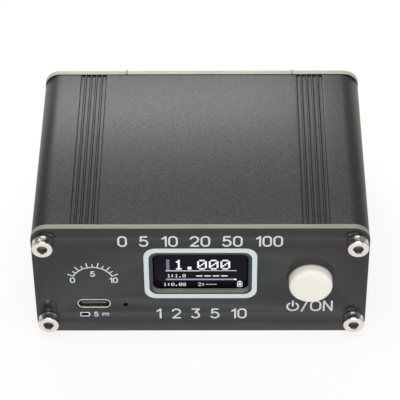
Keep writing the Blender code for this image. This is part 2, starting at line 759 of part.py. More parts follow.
def make_front_board(looks):
    """The upright board that carries the display and the switch."""
    bottom = ON_BOARD_Z
    width = FRONT_BOARD_RIGHT - FRONT_BOARD_LEFT
    height = FRONT_BOARD_TOP_Z - bottom
    middle_z = bottom + height / 2
    half_width, half_height = width / 2, height / 2
    outline = [
        (-half_width, -half_height),
        (half_width, -half_height),
        (half_width, half_height),
        (-half_width, half_height),
    ]
    holes = []
    for x in pin_places(BOARD_PINS):
        holes.append(circle((x, BOARD_PIN_Z - middle_z), PIN_HOLE_RADIUS, PIN_HOLE_STEPS))
    for x in pin_places(DISPLAY_PINS):
        spot = (DISPLAY_X - FRONT_BOARD_X + x, DISPLAY_PIN_Z - middle_z)
        holes.append(circle(spot, PIN_HOLE_RADIUS, PIN_HOLE_STEPS))
    board = plate("front_board", [outline] + holes, FRONT_BOARD_THICKNESS)
    spot = (FRONT_BOARD_X, FRONT_BOARD_FACE_Y + FRONT_BOARD_THICKNESS / 2, middle_z)
    place(board, spot, FACING_FRONT, looks["green_board"])


def make_board_header(looks):
    """The right-angle pin strip that ties the front board to the main board."""
    strip = block("board_header", (BOARD_PINS * PIN_PITCH, HEADER_SIDE, HEADER_SIDE))
    middle_y = FRONT_BOARD_BACK_Y + GAP + HEADER_SIDE / 2
    tip = FRONT_BOARD_FACE_Y - PIN_OVERHANG - middle_y
    leg = BOARD_PIN_LEG_Y - middle_y
    foot = MAIN_BOARD_HEIGHT - PIN_OVERHANG - BOARD_PIN_Z
    half = PIN_SIDE / 2
    bent = [
        (tip, -half),
        (leg - half, -half),
        (leg - half, foot),
        (leg + half, foot),
        (leg + half, half),
        (tip, half),
    ]
    for x in pin_places(BOARD_PINS):
        strip = join(strip, moved(side_plate("pin", bent, PIN_SIDE), (x, 0, 0)))
    place(strip, (FRONT_BOARD_X, middle_y, BOARD_PIN_Z), UPRIGHT, looks["header"])


def make_display(looks):
    """The display's glass, board, folded flex and pin header."""
    glass = block("display_glass", (GLASS_WIDTH, GLASS_THICKNESS, GLASS_HEIGHT))
    glass_y = GLASS_FACE_Y + GLASS_THICKNESS / 2
    glass_z = GLASS_TOP_Z - GLASS_HEIGHT / 2
    place(glass, (DISPLAY_X, glass_y, glass_z), UPRIGHT, looks["display_glass"])

    corner = (DISPLAY_BOARD_WIDTH / 2, DISPLAY_BOARD_HEIGHT / 2)
    outline = [(-corner[0], -corner[1]), (corner[0], -corner[1]), corner, (-corner[0], corner[1])]
    holes = []
    for x in pin_places(DISPLAY_PINS):
        holes.append(circle((x, corner[1] - PIN_EDGE), PIN_HOLE_RADIUS, PIN_HOLE_STEPS))
    board = plate("display_board", [outline] + holes, DISPLAY_BOARD_THICKNESS)
    board_y = DISPLAY_BOARD_FACE_Y + DISPLAY_BOARD_THICKNESS / 2
    place(board, (DISPLAY_X, board_y, DISPLAY_BOARD_Z), FACING_FRONT, looks["display_board"])

    make_display_flex(glass_z, looks)
    make_display_header(looks)


def make_display_flex(glass_z, looks):
    """The ribbon from under the glass, round the board's lower edge and up its back."""
    front = DISPLAY_BOARD_FACE_Y - GAP
    back = DISPLAY_BOARD_BACK_Y + GAP
    bottom = DISPLAY_BOARD_Z - DISPLAY_BOARD_HEIGHT / 2 - GAP
    front_top = glass_z - GLASS_HEIGHT / 2 - GAP
    back_top = bottom + FLEX_BACK_HEIGHT
    outline = [
        (front - FLEX_THICKNESS, front_top),
        (front - FLEX_THICKNESS, bottom - FLEX_THICKNESS),
        (back + FLEX_THICKNESS, bottom - FLEX_THICKNESS),
        (back + FLEX_THICKNESS, back_top),
        (back, back_top),
        (back, bottom),
        (front, bottom),
        (front, front_top),
    ]
    flex = side_plate("display_flex", outline, FLEX_WIDTH)
    place(flex, (DISPLAY_X, 0, 0), UPRIGHT, looks["flex"])


def make_display_header(looks):
    """The straight pin strip between the display's board and the front board."""
    front = DISPLAY_BOARD_BACK_Y + GAP
    depth = FRONT_BOARD_FACE_Y - GAP - front
    middle_y = front + depth / 2
    strip = block("display_header", (DISPLAY_PINS * PIN_PITCH, depth, HEADER_SIDE))
    tip = DISPLAY_BOARD_FACE_Y - PIN_OVERHANG
    end = FRONT_BOARD_BACK_Y + PIN_OVERHANG
    for x in pin_places(DISPLAY_PINS):
        pin = block("pin", (PIN_SIDE, end - tip, PIN_SIDE))
        strip = join(strip, moved(pin, (x, (tip + end) / 2 - middle_y, 0)))
    place(strip, (DISPLAY_X, middle_y, DISPLAY_PIN_Z), UPRIGHT, looks["header"])


def make_button(looks):
    """The cap and plunger, which move together along an empty on the button's axis."""
    slide = bpy.data.objects.new("button_slide", None)
    PARTS.objects.link(slide)
    slide.location = (BUTTON_X, CAP_BACK_Y, BUTTON_Z)

    top = CAP_BACK_Y + PANEL_OUTER_Y + CAP_PROTRUSION
    shoulder = (CAP_RADIUS - CAP_ROUND, top - CAP_ROUND)
    profile = [(0, top)] + arc(shoulder, CAP_ROUND, 90, 0, CORNER_STEPS)
    profile += [
        (CAP_RADIUS, CAP_FLANGE_THICKNESS),
        (CAP_FLANGE_RADIUS, CAP_FLANGE_THICKNESS),
        (CAP_FLANGE_RADIUS, 0),
        (0, 0),
    ]
    cap = turned("button_cap", profile, ROUND_STEPS)
    socket_side = STEM_SIDE + 2 * GAP
    socket_depth = STEM_LENGTH + GAP + OVERRUN
    socket = block("socket", (socket_side, socket_side, socket_depth))
    cap = cut(cap, moved(socket, (0, 0, socket_depth / 2 - OVERRUN)))
    place(cap, slide.location, FACING_FRONT, looks["cap"], slide)

    neck_top = -GAP
    disc_top = CAP_BACK_Y - SWITCH_FRONT_Y
    disc_bottom = disc_top - (SWITCH_HEIGHT - SWITCH_FLOOR - 2 * GAP - DOME_HEIGHT)
    profile = [
        (0, neck_top),
        (NECK_RADIUS, neck_top),
        (NECK_RADIUS, disc_top),
        (DISC_RADIUS, disc_top),
        (DISC_RADIUS, disc_bottom),
        (0, disc_bottom),
    ]
    plunger = turned("switch_plunger", profile, SMALL_STEPS)
    stem_height = STEM_LENGTH + GAP - disc_bottom / 2
    stem = block("stem", (STEM_SIDE, STEM_SIDE, stem_height))
    plunger = join(plunger, moved(stem, (0, 0, STEM_LENGTH - stem_height / 2)))
    place(plunger, slide.location, FACING_FRONT, looks["switch"], slide)


def make_switch(looks):
    """The switch's base with its well, the snap dome in it and the cover over it."""
    base = block("switch_base", (SWITCH_SIDE, SWITCH_SIDE, SWITCH_HEIGHT), SWITCH_BEVEL)
    well = prism("well", SMALL_STEPS, SWITCH_CAVITY_RADIUS, SWITCH_HEIGHT)
    base = cut(base, moved(well, (0, 0, SWITCH_FLOOR - SWITCH_HEIGHT / 2)))
    middle = (SWITCH_FRONT_Y + SWITCH_BACK_Y) / 2
    place(base, (BUTTON_X, middle, BUTTON_Z), FACING_FRONT, looks["switch"])

    outline = rounded((0, 0), SWITCH_SIDE, SWITCH_SIDE, SWITCH_BEVEL, 2)
    hole = circle((0, 0), NECK_RADIUS + GAP, SMALL_STEPS)
    cover = plate("switch_cover", [outline, hole], COVER_THICKNESS)
    cover_y = COVER_FRONT_Y + COVER_THICKNESS / 2
    place(cover, (BUTTON_X, cover_y, BUTTON_Z), FACING_FRONT, looks["spring_steel"])

    sphere, half_angle = sphere_of_cap(DOME_RADIUS, DOME_HEIGHT)
    middle = (0, DOME_HEIGHT - sphere)
    outer = arc(middle, sphere, 90, 90 - half_angle, 4)
    inner = arc(middle, sphere - DOME_THICKNESS, 90 - half_angle, 90, 4)
    profile = [(0, DOME_HEIGHT)] + outer[1:] + inner[:-1] + [(0, DOME_HEIGHT - DOME_THICKNESS)]
    dome = turned("switch_dome", profile, SMALL_STEPS)
    seat = SWITCH_BACK_Y - SWITCH_FLOOR - GAP
    place(dome, (BUTTON_X, seat, BUTTON_Z), FACING_FRONT, looks["spring_steel"])


def make_charging_socket(looks):
    """The metal shell and the tongue of the charging socket."""
    outer = rounded((0, 0), USB_WIDTH, USB_HEIGHT, USB_HEIGHT / 2)
    bore_height = USB_HEIGHT - 2 * USB_WALL
    bore_width = USB_WIDTH - 2 * USB_WALL
    bore = rounded((0, 0), bore_width, bore_height, bore_height / 2)
    shell = plate("usb_shell", [outer, bore], USB_LENGTH)
    shell_y = -PANEL_OUTER_Y + USB_LENGTH / 2
    place(shell, (USB_X, shell_y, USB_Z), FACING_FRONT, looks["usb_steel"])

    base_height = bore_height - 2 * GAP
    outline = rounded((0, 0), bore_width - 2 * GAP, base_height, base_height / 2, 4)
    base = plate("usb_tongue", [outline], TONGUE_BASE_DEPTH)
    reach = USB_LENGTH - TONGUE_SETBACK
    tongue = block("tongue", (TONGUE_WIDTH, TONGUE_THICKNESS, reach - TONGUE_BASE_DEPTH / 2))
    base = join(base, moved(tongue, (0, 0, (reach - TONGUE_BASE_DEPTH / 2) / 2)))
    back = -PANEL_OUTER_Y + USB_LENGTH - TONGUE_BASE_DEPTH / 2
    place(base, (USB_X, back, USB_Z), FACING_FRONT, looks["usb_tongue"])


def make_light(looks):
    """The small light behind the pinhole."""
    light = block("status_light", (LIGHT_WIDTH, LIGHT_DEPTH, LIGHT_HEIGHT), GAP)
    front = -PANEL_INNER_Y + GAP
    place(light, (LIGHT_X, front + LIGHT_DEPTH / 2, ON_BOARD_Z + LIGHT_HEIGHT / 2), UPRIGHT, looks["light"])


def make_chip(name, size, x, y, looks):
    """A moulded body over the flat frame of its legs, just above the main board."""
    length, width, height = size
    chip = block(name, size)
    legs = block("legs", (length + 2 * LEG_REACH, width - LEG_REACH, 2 * LEG_THICKNESS))
    chip = join(chip, moved(legs, (0, 0, LEG_THICKNESS - height / 2)))
    place(chip, (x, y, ON_BOARD_Z + height / 2), UPRIGHT, looks["chip"])


def make_chips(looks):
    controller = (CONTROLLER_SIDE, CONTROLLER_SIDE, CONTROLLER_HEIGHT)
    make_chip("microcontroller", controller, 0, CONTROLLER_SETBACK - PANEL_INNER_Y, looks)
    charger = (CHARGER_LENGTH, CHARGER_WIDTH, CHARGER_HEIGHT)
    make_chip("charge_controller", charger, USB_X, CHARGER_SETBACK - PANEL_INNER_Y, looks)
    detector = (DETECTOR_LENGTH, DETECTOR_WIDTH, DETECTOR_HEIGHT)
    for name, side in (("forward_detector", -1), ("reflected_detector", 1)):
        make_chip(name, detector, DETECTOR_X, LINE_Y + side * DETECTOR_SPACING / 2, looks)


def make_battery(looks):
    """The battery under its foam pad, and the plug, jack and two leads that connect it."""
    size = (BATTERY_LENGTH, BATTERY_DEPTH, BATTERY_THICKNESS)
    cell = block("battery", size, BATTERY_ROUND)
    place(cell, (BATTERY_X, BATTERY_Y, BATTERY_Z), UPRIGHT, looks["battery"])
    pad = block("battery_pad", (PAD_LENGTH, PAD_DEPTH, PAD_THICKNESS))
    pad_z = ROOF_Z - GAP - PAD_THICKNESS / 2
    place(pad, (BATTERY_X, BATTERY_Y, pad_z), UPRIGHT, looks["foam"])

    jack_width = PLUG_WIDTH + 2 * (GAP + JACK_WALL)
    jack_depth = PLUG_DEPTH + 2 * (GAP + JACK_WALL)
    jack = block("battery_socket", (jack_width, jack_depth, JACK_HEIGHT))
    well = block("well", (PLUG_WIDTH + 2 * GAP, PLUG_DEPTH + 2 * GAP, JACK_HEIGHT))
    jack = cut(jack, moved(well, (0, 0, JACK_FLOOR)))
    place(jack, (JACK_X, BATTERY_Y, ON_BOARD_Z + JACK_HEIGHT / 2), UPRIGHT, looks["nylon"])
    plug = block("battery_plug", (PLUG_WIDTH, PLUG_DEPTH, PLUG_HEIGHT))
    place(plug, (JACK_X, BATTERY_Y, PLUG_BOTTOM_Z + PLUG_HEIGHT / 2), UPRIGHT, looks["nylon"])

    plug_top = PLUG_BOTTOM_Z + PLUG_HEIGHT + GAP
    bend = (JACK_X + LEAD_BEND, BATTERY_Z - LEAD_BEND)
    for name, side in (("battery_lead_positive", 1), ("battery_lead_negative", -1)):
        y = BATTERY_Y + side * LEAD_SPACING / 2
        points = [(BATTERY_END_X - GAP, y, BATTERY_Z)]
        points += [(x, y, z) for x, z in arc(bend, LEAD_BEND, 90, 180, CORNER_STEPS)]
        points.append((JACK_X, y, plug_top))
        colour = "red_lead" if side > 0 else "black_lead"
        place(tube(name, points, LEAD_RADIUS, 2), (0, 0, 0), UPRIGHT, looks[colour])


def core_profile(height):
    """Half of a ring core's section, as a closed loop down its outer side."""
    half = height / 2
    return [
        (CORE_OUTER_RADIUS - CORE_CHAMFER, half),
        (CORE_OUTER_RADIUS, half - CORE_CHAMFER),
        (CORE_OUTER_RADIUS, CORE_CHAMFER - half),
        (CORE_OUTER_RADIUS - CORE_CHAMFER, -half),
        (CORE_INNER_RADIUS + CORE_CHAMFER, -half),
        (CORE_INNER_RADIUS, CORE_CHAMFER - half),
        (CORE_INNER_RADIUS, half - CORE_CHAMFER),
        (CORE_INNER_RADIUS + CORE_CHAMFER, half),
    ]


def winding_half_height(core_height):
    return core_height / 2 + WIRE_CLEARANCE + WIRE_RADIUS


def winding_points(centre, axis, across, core_height, board_z):
    """The wire's middle line: up from the board, round the core turn by turn, and down again.

    The span left free of turns faces against the second direction of the core's plane.
    """
    away = WIRE_CLEARANCE + WIRE_RADIUS
    inner, outer = CORE_INNER_RADIUS - away, CORE_OUTER_RADIUS + away
    half = winding_half_height(core_height)
    section = [
        (outer, half - WIRE_CORNER),
        (outer - WIRE_CORNER, half),
        (inner + WIRE_CORNER, half),
        (inner, half - WIRE_CORNER),
        (inner, WIRE_CORNER - half),
        (inner + WIRE_CORNER, -half),
        (outer - WIRE_CORNER, -half),
        (outer, WIRE_CORNER - half),
    ]
    rise = axis.cross(across)
    start = -math.pi / 2 + (2 * math.pi - WINDING_SPAN) / 2

    def spot(radius, height, turn):
        angle = start + WINDING_SPAN * turn / WINDING_TURNS
        return centre + radius * (math.cos(angle) * across + math.sin(angle) * rise) + height * axis

    first = spot(outer, -half, 0)
    last = spot(outer, -half, WINDING_TURNS)
    points = [Vector((first.x, first.y, board_z)), first]
    for step in range(len(section) * WINDING_TURNS - 1):
        radius, height = section[step % len(section)]
        points.append(spot(radius, height, (step + 1) / len(section)))
    points += [last, Vector((last.x, last.y, board_z))]
    return points


def least_gap(points, skip):
    """The smallest clear distance between stretches of a wire that lie more than skip points apart."""
    nearest = min(
        (points[i] - points[j]).length for i in range(len(points)) for j in range(i + skip, len(points))
    )
    return nearest - 2 * WIRE_RADIUS


def make_transformer(name, centre, axis, across, core_height, looks):
    """A ring core and the winding round it, whose ends stand on the main board."""
    core = turned(f"{name}_core", core_profile(core_height), ROUND_STEPS, closed=True)
    turn = axis.to_track_quat("Z", "Y").to_euler()
    place(core, centre, turn, looks["ferrite"])
    points = winding_points(centre, axis, across, core_height, ON_BOARD_Z)
    print(f"{name}_winding: least gap {least_gap(points, 5) / MM:.2f} mm")
    place(tube(f"{name}_winding", points, WIRE_RADIUS, 1), (0, 0, 0), UPRIGHT, looks["copper"])


def make_coupler(looks):
    """The line between both aerial sockets, its tap, and the two transformers on them."""
    end_y = CONTACT_END_Y - GAP
    side = SOCKET_X - LINE_BEND
    right = arc((side, LINE_Y + LINE_BEND), LINE_BEND, 0, -90, CORNER_STEPS)
    points = [(SOCKET_X, end_y, SOCKET_Z)]
    points += [(x, y, LINE_Z) for x, y in right + mirrored(right)]
    points.append((-SOCKET_X, end_y, SOCKET_Z))
    place(tube("through_line", points, LINE_RADIUS, 2), (0, 0, 0), UPRIGHT, looks["copper"])

    current = Vector((0, LINE_Y, LINE_Z))
    make_transformer("current", current, Vector((1, 0, 0)), Vector((0, 1, 0)), CURRENT_CORE_HEIGHT, looks)
    tap_top = LINE_Z - LINE_RADIUS - GAP
    lift = winding_half_height(VOLTAGE_CORE_HEIGHT) + WIRE_RADIUS
    voltage = Vector((VOLTAGE_CORE_X, LINE_Y, tap_top - lift))
    make_transformer("voltage", voltage, Vector((0, 0, 1)), Vector((1, 0, 0)), VOLTAGE_CORE_HEIGHT, looks)
    tap = prism("tap_wire", HOLE_STEPS, TAP_RADIUS, tap_top - ON_BOARD_Z)
    place(tap, (VOLTAGE_CORE_X, LINE_Y, ON_BOARD_Z), UPRIGHT, looks["copper"])


def make_socket_body(name):
    """The flange, threaded barrel and inner collar, about the flange's inner face, pointing up."""
    top = BARREL_END_Y - FLANGE_INNER_Y
    bottom = COLLAR_END_Y - FLANGE_INNER_Y
    relief = BARREL_RADIUS - BARREL_RELIEF_DEPTH
    relief_top = FLANGE_THICKNESS + BARREL_RELIEF_WIDTH
    outer = [
        (0, top),
        (BARREL_RADIUS - BARREL_CHAMFER, top),
        (BARREL_RADIUS, top - BARREL_CHAMFER),
        (BARREL_RADIUS, relief_top + BARREL_RELIEF_DEPTH),
        (relief, relief_top),
        (relief, FLANGE_THICKNESS / 2),
        (COLLAR_RADIUS, FLANGE_THICKNESS / 2),
        (COLLAR_RADIUS, bottom),
        (0, bottom),
    ]
    outline = rounded((0, 0), FLANGE_SIDE, FLANGE_SIDE, FLANGE_CORNER, 3)
    holes = [circle(spot, SCREW_HOLE_RADIUS) for spot in flange_hole_places()]
    flange = moved(plate("flange", [outline] + holes, FLANGE_THICKNESS), (0, 0, FLANGE_THICKNESS / 2))
    body = join(turned(name, outer, ROUND_STEPS), flange)
    bore = [
        (0, top + OVERRUN),
        (BARREL_BORE_RADIUS, top + OVERRUN),
        (BARREL_BORE_RADIUS, FLANGE_THICKNESS),
        (COLLAR_BORE_RADIUS, FLANGE_THICKNESS),
        (COLLAR_BORE_RADIUS, bottom - OVERRUN),
        (0, bottom - OVERRUN),
    ]
    body = cut(body, turned("bore", bore, ROUND_STEPS))
    across = 2 * (BARREL_RADIUS + OVERRUN)
    for size in ((NOTCH_WIDTH, across, 2 * NOTCH_DEPTH), (across, NOTCH_WIDTH, 2 * NOTCH_DEPTH)):
        body = cut(body, moved(block("notch", size), (0, 0, top)))
    return body


def make_insulator(name):
    """The stepped white sleeve between the socket's body and its contact."""
    face = INSULATOR_FACE_Y - FLANGE_INNER_Y
    step = FLANGE_THICKNESS + GAP
    bottom = INSULATOR_END_Y - FLANGE_INNER_Y
    bore_step = CONTACT_FACE_Y - CONTACT_BODY_LENGTH - GAP - FLANGE_INNER_Y
    profile = [
        (BARREL_BORE_RADIUS - GAP, face),
        (BARREL_BORE_RADIUS - GAP, step),
        (COLLAR_BORE_RADIUS - GAP, step),
        (COLLAR_BORE_RADIUS - GAP, bottom),
        (STEM_RADIUS + GAP, bottom),
        (STEM_RADIUS + GAP, bore_step),
        (CONTACT_RADIUS + GAP, bore_step),
        (CONTACT_RADIUS + GAP, face),
    ]
    return turned(name, profile, ROUND_STEPS, closed=True)


def make_contact(name):
    """The centre contact: a tube for the plug's pin in front and a solid stem behind."""
    face = CONTACT_FACE_Y - FLANGE_INNER_Y
    step = face - CONTACT_BODY_LENGTH
    bottom = CONTACT_END_Y - FLANGE_INNER_Y
    profile = [
        (0, face - CONTACT_BORE_DEPTH),
        (CONTACT_BORE_RADIUS, face - CONTACT_BORE_DEPTH),
        (CONTACT_BORE_RADIUS, face),
        (CONTACT_RADIUS, face),
        (CONTACT_RADIUS, step),
        (STEM_RADIUS, step),
        (STEM_RADIUS, bottom),
        (0, bottom),
    ]
    return turned(name, profile, SMALL_STEPS)


def make_nut_plate(name):
    """The square plate inside the rear panel that takes the socket's four screws."""
    outline = rounded((0, 0), NUT_PLATE_SIDE, NUT_PLATE_SIDE, FLANGE_CORNER, 3)
    holes = [circle(spot, SCREW_HOLE_RADIUS) for spot in flange_hole_places()]
    holes.append(circle((0, 0), COLLAR_RADIUS + GAP, ROUND_STEPS))
    return plate(name, [outline] + holes, NUT_PLATE_THICKNESS)


def make_aerial_sockets(looks):
    """Both sockets on the rear panel, each with its insulator, contact, nut plate and four screws."""
    kinds = (
        ("socket", make_socket_body, looks["nickel"]),
        ("insulator", make_insulator, looks["ptfe"]),
        ("contact", make_contact, looks["gold"]),
    )
    plate_y = NUT_PLATE_FRONT_Y + NUT_PLATE_THICKNESS / 2
    shank = FLANGE_OUTER_Y + GAP - NUT_PLATE_FRONT_Y
    firsts = {}

    def put(kind, name, make, look, spot, turn):
        if kind in firsts:
            twin(firsts[kind], name, spot, turn)
        else:
            firsts[kind] = place(make(name), spot, turn, look)

    def screw(name):
        return make_socket_screw(name, shank)

    for use, side in (("transmitter", -1), ("antenna", 1)):
        x = side * SOCKET_X
        for kind, make, look in kinds:
            put(kind, f"{use}_{kind}", make, look, (x, FLANGE_INNER_Y, SOCKET_Z), FACING_BACK)
        spot = (x, plate_y, SOCKET_Z)
        put("nut_plate", f"{use}_nut_plate", make_nut_plate, looks["nickel"], spot, FACING_BACK)
        for number, (offset, rise) in enumerate(flange_hole_places(), 1):
            spot = (x + offset, FLANGE_OUTER_Y + GAP, SOCKET_Z + rise)
            put("screw", f"{use}_screw_{number}", screw, looks["screw_steel"], spot, FACING_BACK)


def build():
    looks = make_finishes()
    make_case(looks)
    make_case_screws(looks)
    make_main_board(looks)
    make_front_board(looks)
    make_board_header(looks)
    make_display(looks)
    make_button(looks)
    make_switch(looks)
    make_charging_socket(looks)
    make_light(looks)
    make_chips(looks)
    make_battery(looks)
    make_coupler(looks)
    make_aerial_sockets(looks)


clear_scene()
PARTS = collection_named("swr_meter")
build()
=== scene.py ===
"""Looks of the radio power and standing-wave meter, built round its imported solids.

Lengths are in metres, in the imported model's frame: +X runs to the right of the front panel, +Y to the
back, +Z up, and the origin is the middle of the case's underside.
"""

import json
import math

import bmesh
import bpy
from mathutils import Matrix, Vector


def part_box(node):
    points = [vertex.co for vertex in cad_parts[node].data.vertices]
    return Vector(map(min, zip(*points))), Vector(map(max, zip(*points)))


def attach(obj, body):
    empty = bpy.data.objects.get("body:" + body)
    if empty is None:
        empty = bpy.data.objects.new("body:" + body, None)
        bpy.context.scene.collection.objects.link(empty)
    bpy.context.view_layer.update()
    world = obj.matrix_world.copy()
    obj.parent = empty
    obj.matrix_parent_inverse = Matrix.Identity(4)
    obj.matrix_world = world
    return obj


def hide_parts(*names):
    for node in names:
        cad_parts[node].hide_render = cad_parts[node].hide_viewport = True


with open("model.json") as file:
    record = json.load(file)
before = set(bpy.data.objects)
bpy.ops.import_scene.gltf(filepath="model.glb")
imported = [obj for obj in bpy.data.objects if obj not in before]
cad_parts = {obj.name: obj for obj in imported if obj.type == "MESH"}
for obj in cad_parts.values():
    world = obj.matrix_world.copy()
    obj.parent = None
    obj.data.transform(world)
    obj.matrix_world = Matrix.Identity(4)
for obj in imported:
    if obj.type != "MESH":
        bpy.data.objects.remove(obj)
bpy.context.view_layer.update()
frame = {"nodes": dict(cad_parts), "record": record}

MM = 0.001
WELD = 0.001 * MM
OVERRUN = 1.0 * MM
SMOOTH_ANGLE = math.radians(32)
QUARTER_TURN = math.radians(90)
HALF_TURN = math.radians(180)

# Camera of the photograph: its place, downward pitch, turn to the left, roll and lens
CAMERA_PLACE = Vector((5.536 * MM, -404.164 * MM, 391.173 * MM))
CAMERA_PITCH = math.radians(42.694)
CAMERA_YAW = math.radians(0.839)
CAMERA_ROLL = math.radians(-0.651)
CAMERA_LENS = 179.46
CAMERA_SENSOR = 36.0
CAMERA_NEAR = 10 * MM

# Case walls and grooves
CASE_WALL = 1.8 * MM
CASE_CORNER = 5.3 * MM
CASE_EDGE = 0.12 * MM
CASE_SEAM = 0.14 * MM
FRONT_SEAT = 0.06 * MM
GROOVE_COUNT = 5
GROOVE_INSET = 10.3 * MM
GROOVE_PITCH = 1.5 * MM
GROOVE_TOP = 1.2 * MM
GROOVE_FLOOR = 0.8 * MM
GROOVE_DEPTH = 0.4 * MM
GROOVE_ROUND = 0.1 * MM
TONGUE_HEIGHT = 1.5 * MM
CHANNEL_RADIUS = 1.5 * MM
CHANNEL_MOUTH = 1.4 * MM
CHANNEL_WALL = 1.3 * MM
BOARD_ROOM = 0.3 * MM
RAIL_THICKNESS = 1.2 * MM
RAIL_REACH = 2.0 * MM

# End panels and their openings
PANEL_CORNER = 4.4 * MM
PANEL_EDGE = 0.04 * MM
SCREW_HOLE_RADIUS = 1.5 * MM
WINDOW_WIDTH = 25.3 * MM
WINDOW_HEIGHT = 14.0 * MM
WINDOW_RISE = 2.56 * MM
WINDOW_CORNER = 1.8 * MM
OPENING_ROOM = 0.3 * MM
SLOT_ROOM = 0.12 * MM
LIGHT_HOLE_HEIGHT = 10.1 * MM
LIGHT_HOLE_RADIUS = 0.65 * MM
NIB_LEFT_INSET = 23.0 * MM
NIB_RIGHT_INSET = 18.7 * MM
NIB_WIDTH = 0.6 * MM
NIB_HEIGHT = 0.5 * MM
NIB_SHARES = ((1 / 2, 0), (1 / 3, 0.7), (1 / 8, 1), (-1 / 4, 0.8), (-1 / 2, 0))

# Socket-head screws, with tall knurled heads on the front panel and the flanges
HEAD_ROUND = 0.45 * MM
HEAD_HEIGHT = 2.7 * MM
HEAD_FOOT = 0.3 * MM
FOOT_ROUND = 0.12 * MM
RIM_STEPS = 6
KNURL_TEETH = 44
KNURL_DEPTH = 0.1 * MM
KEY_WIDTH = 2.5 * MM
KEY_DEPTH = 1.5 * MM
KEY_CHAMFER = 0.22 * MM

# Low domed heads of the rear panel's screws
DOMED_RADIUS = 2.85 * MM
DOMED_HEIGHT = 1.5 * MM
DOMED_TOP = 1.3 * MM
DOMED_RIM = 0.3 * MM
DOMED_BULGE = 0.25 * MM
DOMED_KEY_WIDTH = 2.0 * MM
DOMED_KEY_DEPTH = 1.0 * MM

# What all the screws share: the head's reach down to its seat, the thread and the keys' turns
HEAD_SEAT = 0.27 * MM
SHANK_LENGTH = 8.0 * MM
SCREW_CREST = 1.35 * MM
SCREW_ROOT = 1.1 * MM
SCREW_PITCH = 0.5 * MM
SCREW_COLUMNS = 24
KEY_TURNS = [math.radians(angle) for angle in (22, 2, 30, 31)]
OVERLAP = 0.05 * MM

# Push button
CAP_RADIUS = 5.75 * MM
CAP_ROUND = 1.2 * MM
CAP_FLANGE_THICKNESS = 0.8 * MM
CAP_CROWN = 0.12 * MM
CAP_EDGE = 0.15 * MM
STEM_HOLE_SIDE = 4.4 * MM
STEM_HOLE_DEPTH = 3.7 * MM

# Charging socket
USB_WALL = 0.3 * MM
USB_LIP = 0.1 * MM
TONGUE_WIDTH = 6.69 * MM
TONGUE_THICKNESS = 0.7 * MM
TONGUE_EDGE = 0.15 * MM
TONGUE_BASE_DEPTH = 2.2 * MM
PAD_COUNT = 12
PAD_PITCH = 0.5 * MM
PAD_WIDTH = 0.25 * MM
PAD_LENGTH = 2.6 * MM
PAD_RISE = 0.02 * MM
PAD_SETBACK = 0.5 * MM

# Display: dots of the lit area, counted from its top left corner
DOT_COLUMNS = 128
DOT_PITCH = 0.17 * MM
DOT_GAP = 0.012 * MM
DOT_RISE = 0.01 * MM
DOT_AREA_TOP = 25.6 * MM
CHARACTER_WIDTH = 5
DOT_ROWS = {
    "0": "01110 10001 10011 10101 11001 10001 01110",
    "1": "00100 01100 00100 00100 00100 00100 01110",
    "2": "01110 10001 00001 00010 00100 01000 11111",
    ".": "00000 00000 00000 00000 00000 01100 01100",
    ":": "00000 01100 01100 00000 01100 01100 00000",
    "-": "00000 00000 00000 11111 00000 00000 00000",
    " ": "",
}
GLASS_EDGE = 0.12 * MM

# White print on the front panel, with the small dial's ends in degrees
INK_THICKNESS = 0.03 * MM
INK_STROKE = 0.5 * MM
RING_WIDTH = 29.7 * MM
RING_HEIGHT = 18.3 * MM
RING_Z = 21.65 * MM
RING_CORNER = 3.05 * MM
RING_INNER_WIDTH = 27.1 * MM
RING_INNER_HEIGHT = 15.25 * MM
RING_INNER_CORNER = 2.25 * MM

FINE_STROKE = 0.32 * MM
SPACING_SHARE = 0.26
SCALE_HEIGHT = 3.3 * MM
UPPER_ENDS = (-21.2 * MM, 21.2 * MM)
UPPER_Z = 31.75 * MM
LOWER_ENDS = (-12.0 * MM, 12.0 * MM)
LOWER_Z = 5.0 * MM
SUPPLY_ENDS = (-32.2 * MM, -24.7 * MM)
SUPPLY_Z = 5.66 * MM
SUPPLY_HEIGHT = 1.5 * MM
SWITCH_MARK_Z = 7.8 * MM
SWITCH_MARK_HEIGHT = 3.5 * MM
DIAL_X = -28.4 * MM
DIAL_Z = 18.4 * MM
DIAL_RADIUS = 5.6 * MM
DIAL_START = 155
DIAL_END = 25
DIAL_STEPS = 40
DIAL_TICKS = 11
DIAL_LONG_TICK = 1.3 * MM
DIAL_SHORT_TICK = 0.7 * MM
DIAL_WORD_HEIGHT = 1.7 * MM
DIAL_WORD_OFFSET = 5.4 * MM
DIAL_WORD_RISE = 2.3 * MM

# Aerial sockets
USES = ("transmitter", "antenna")
FLANGE_ROOM = 0.3 * MM
CONTACT_ROOM = 0.15 * MM
FLANGE_THICKNESS = 2.0 * MM
FLANGE_CORNER = 1.5 * MM
FLANGE_EDGE = 0.2 * MM
BARREL_RADIUS = 7.94 * MM
BARREL_ROOT = 7.4 * MM
BARREL_PITCH = 1.058 * MM
BARREL_CHAMFER = 0.6 * MM
BARREL_BORE_RADIUS = 6.0 * MM
BARREL_RELIEF_WIDTH = 1.4 * MM
NOTCH_WIDTH = 1.4 * MM
NOTCH_DEPTH = 1.0 * MM
COLLAR_RADIUS = 6.0 * MM
COLLAR_BORE_RADIUS = 4.6 * MM
INSULATOR_GAP = 0.3 * MM
INSULATOR_EDGE = 0.25 * MM
INSULATOR_STEP = 2.3 * MM
CONTACT_RADIUS = 2.9 * MM
CONTACT_BORE_RADIUS = 2.0 * MM
CONTACT_BORE_DEPTH = 9.0 * MM
CONTACT_BODY_LENGTH = 10.0 * MM
CONTACT_EDGE = 0.2 * MM
CONTACT_SLIT = 0.4 * MM
CONTACT_SLIT_DEPTH = 6.0 * MM
STEM_RADIUS = 1.5 * MM

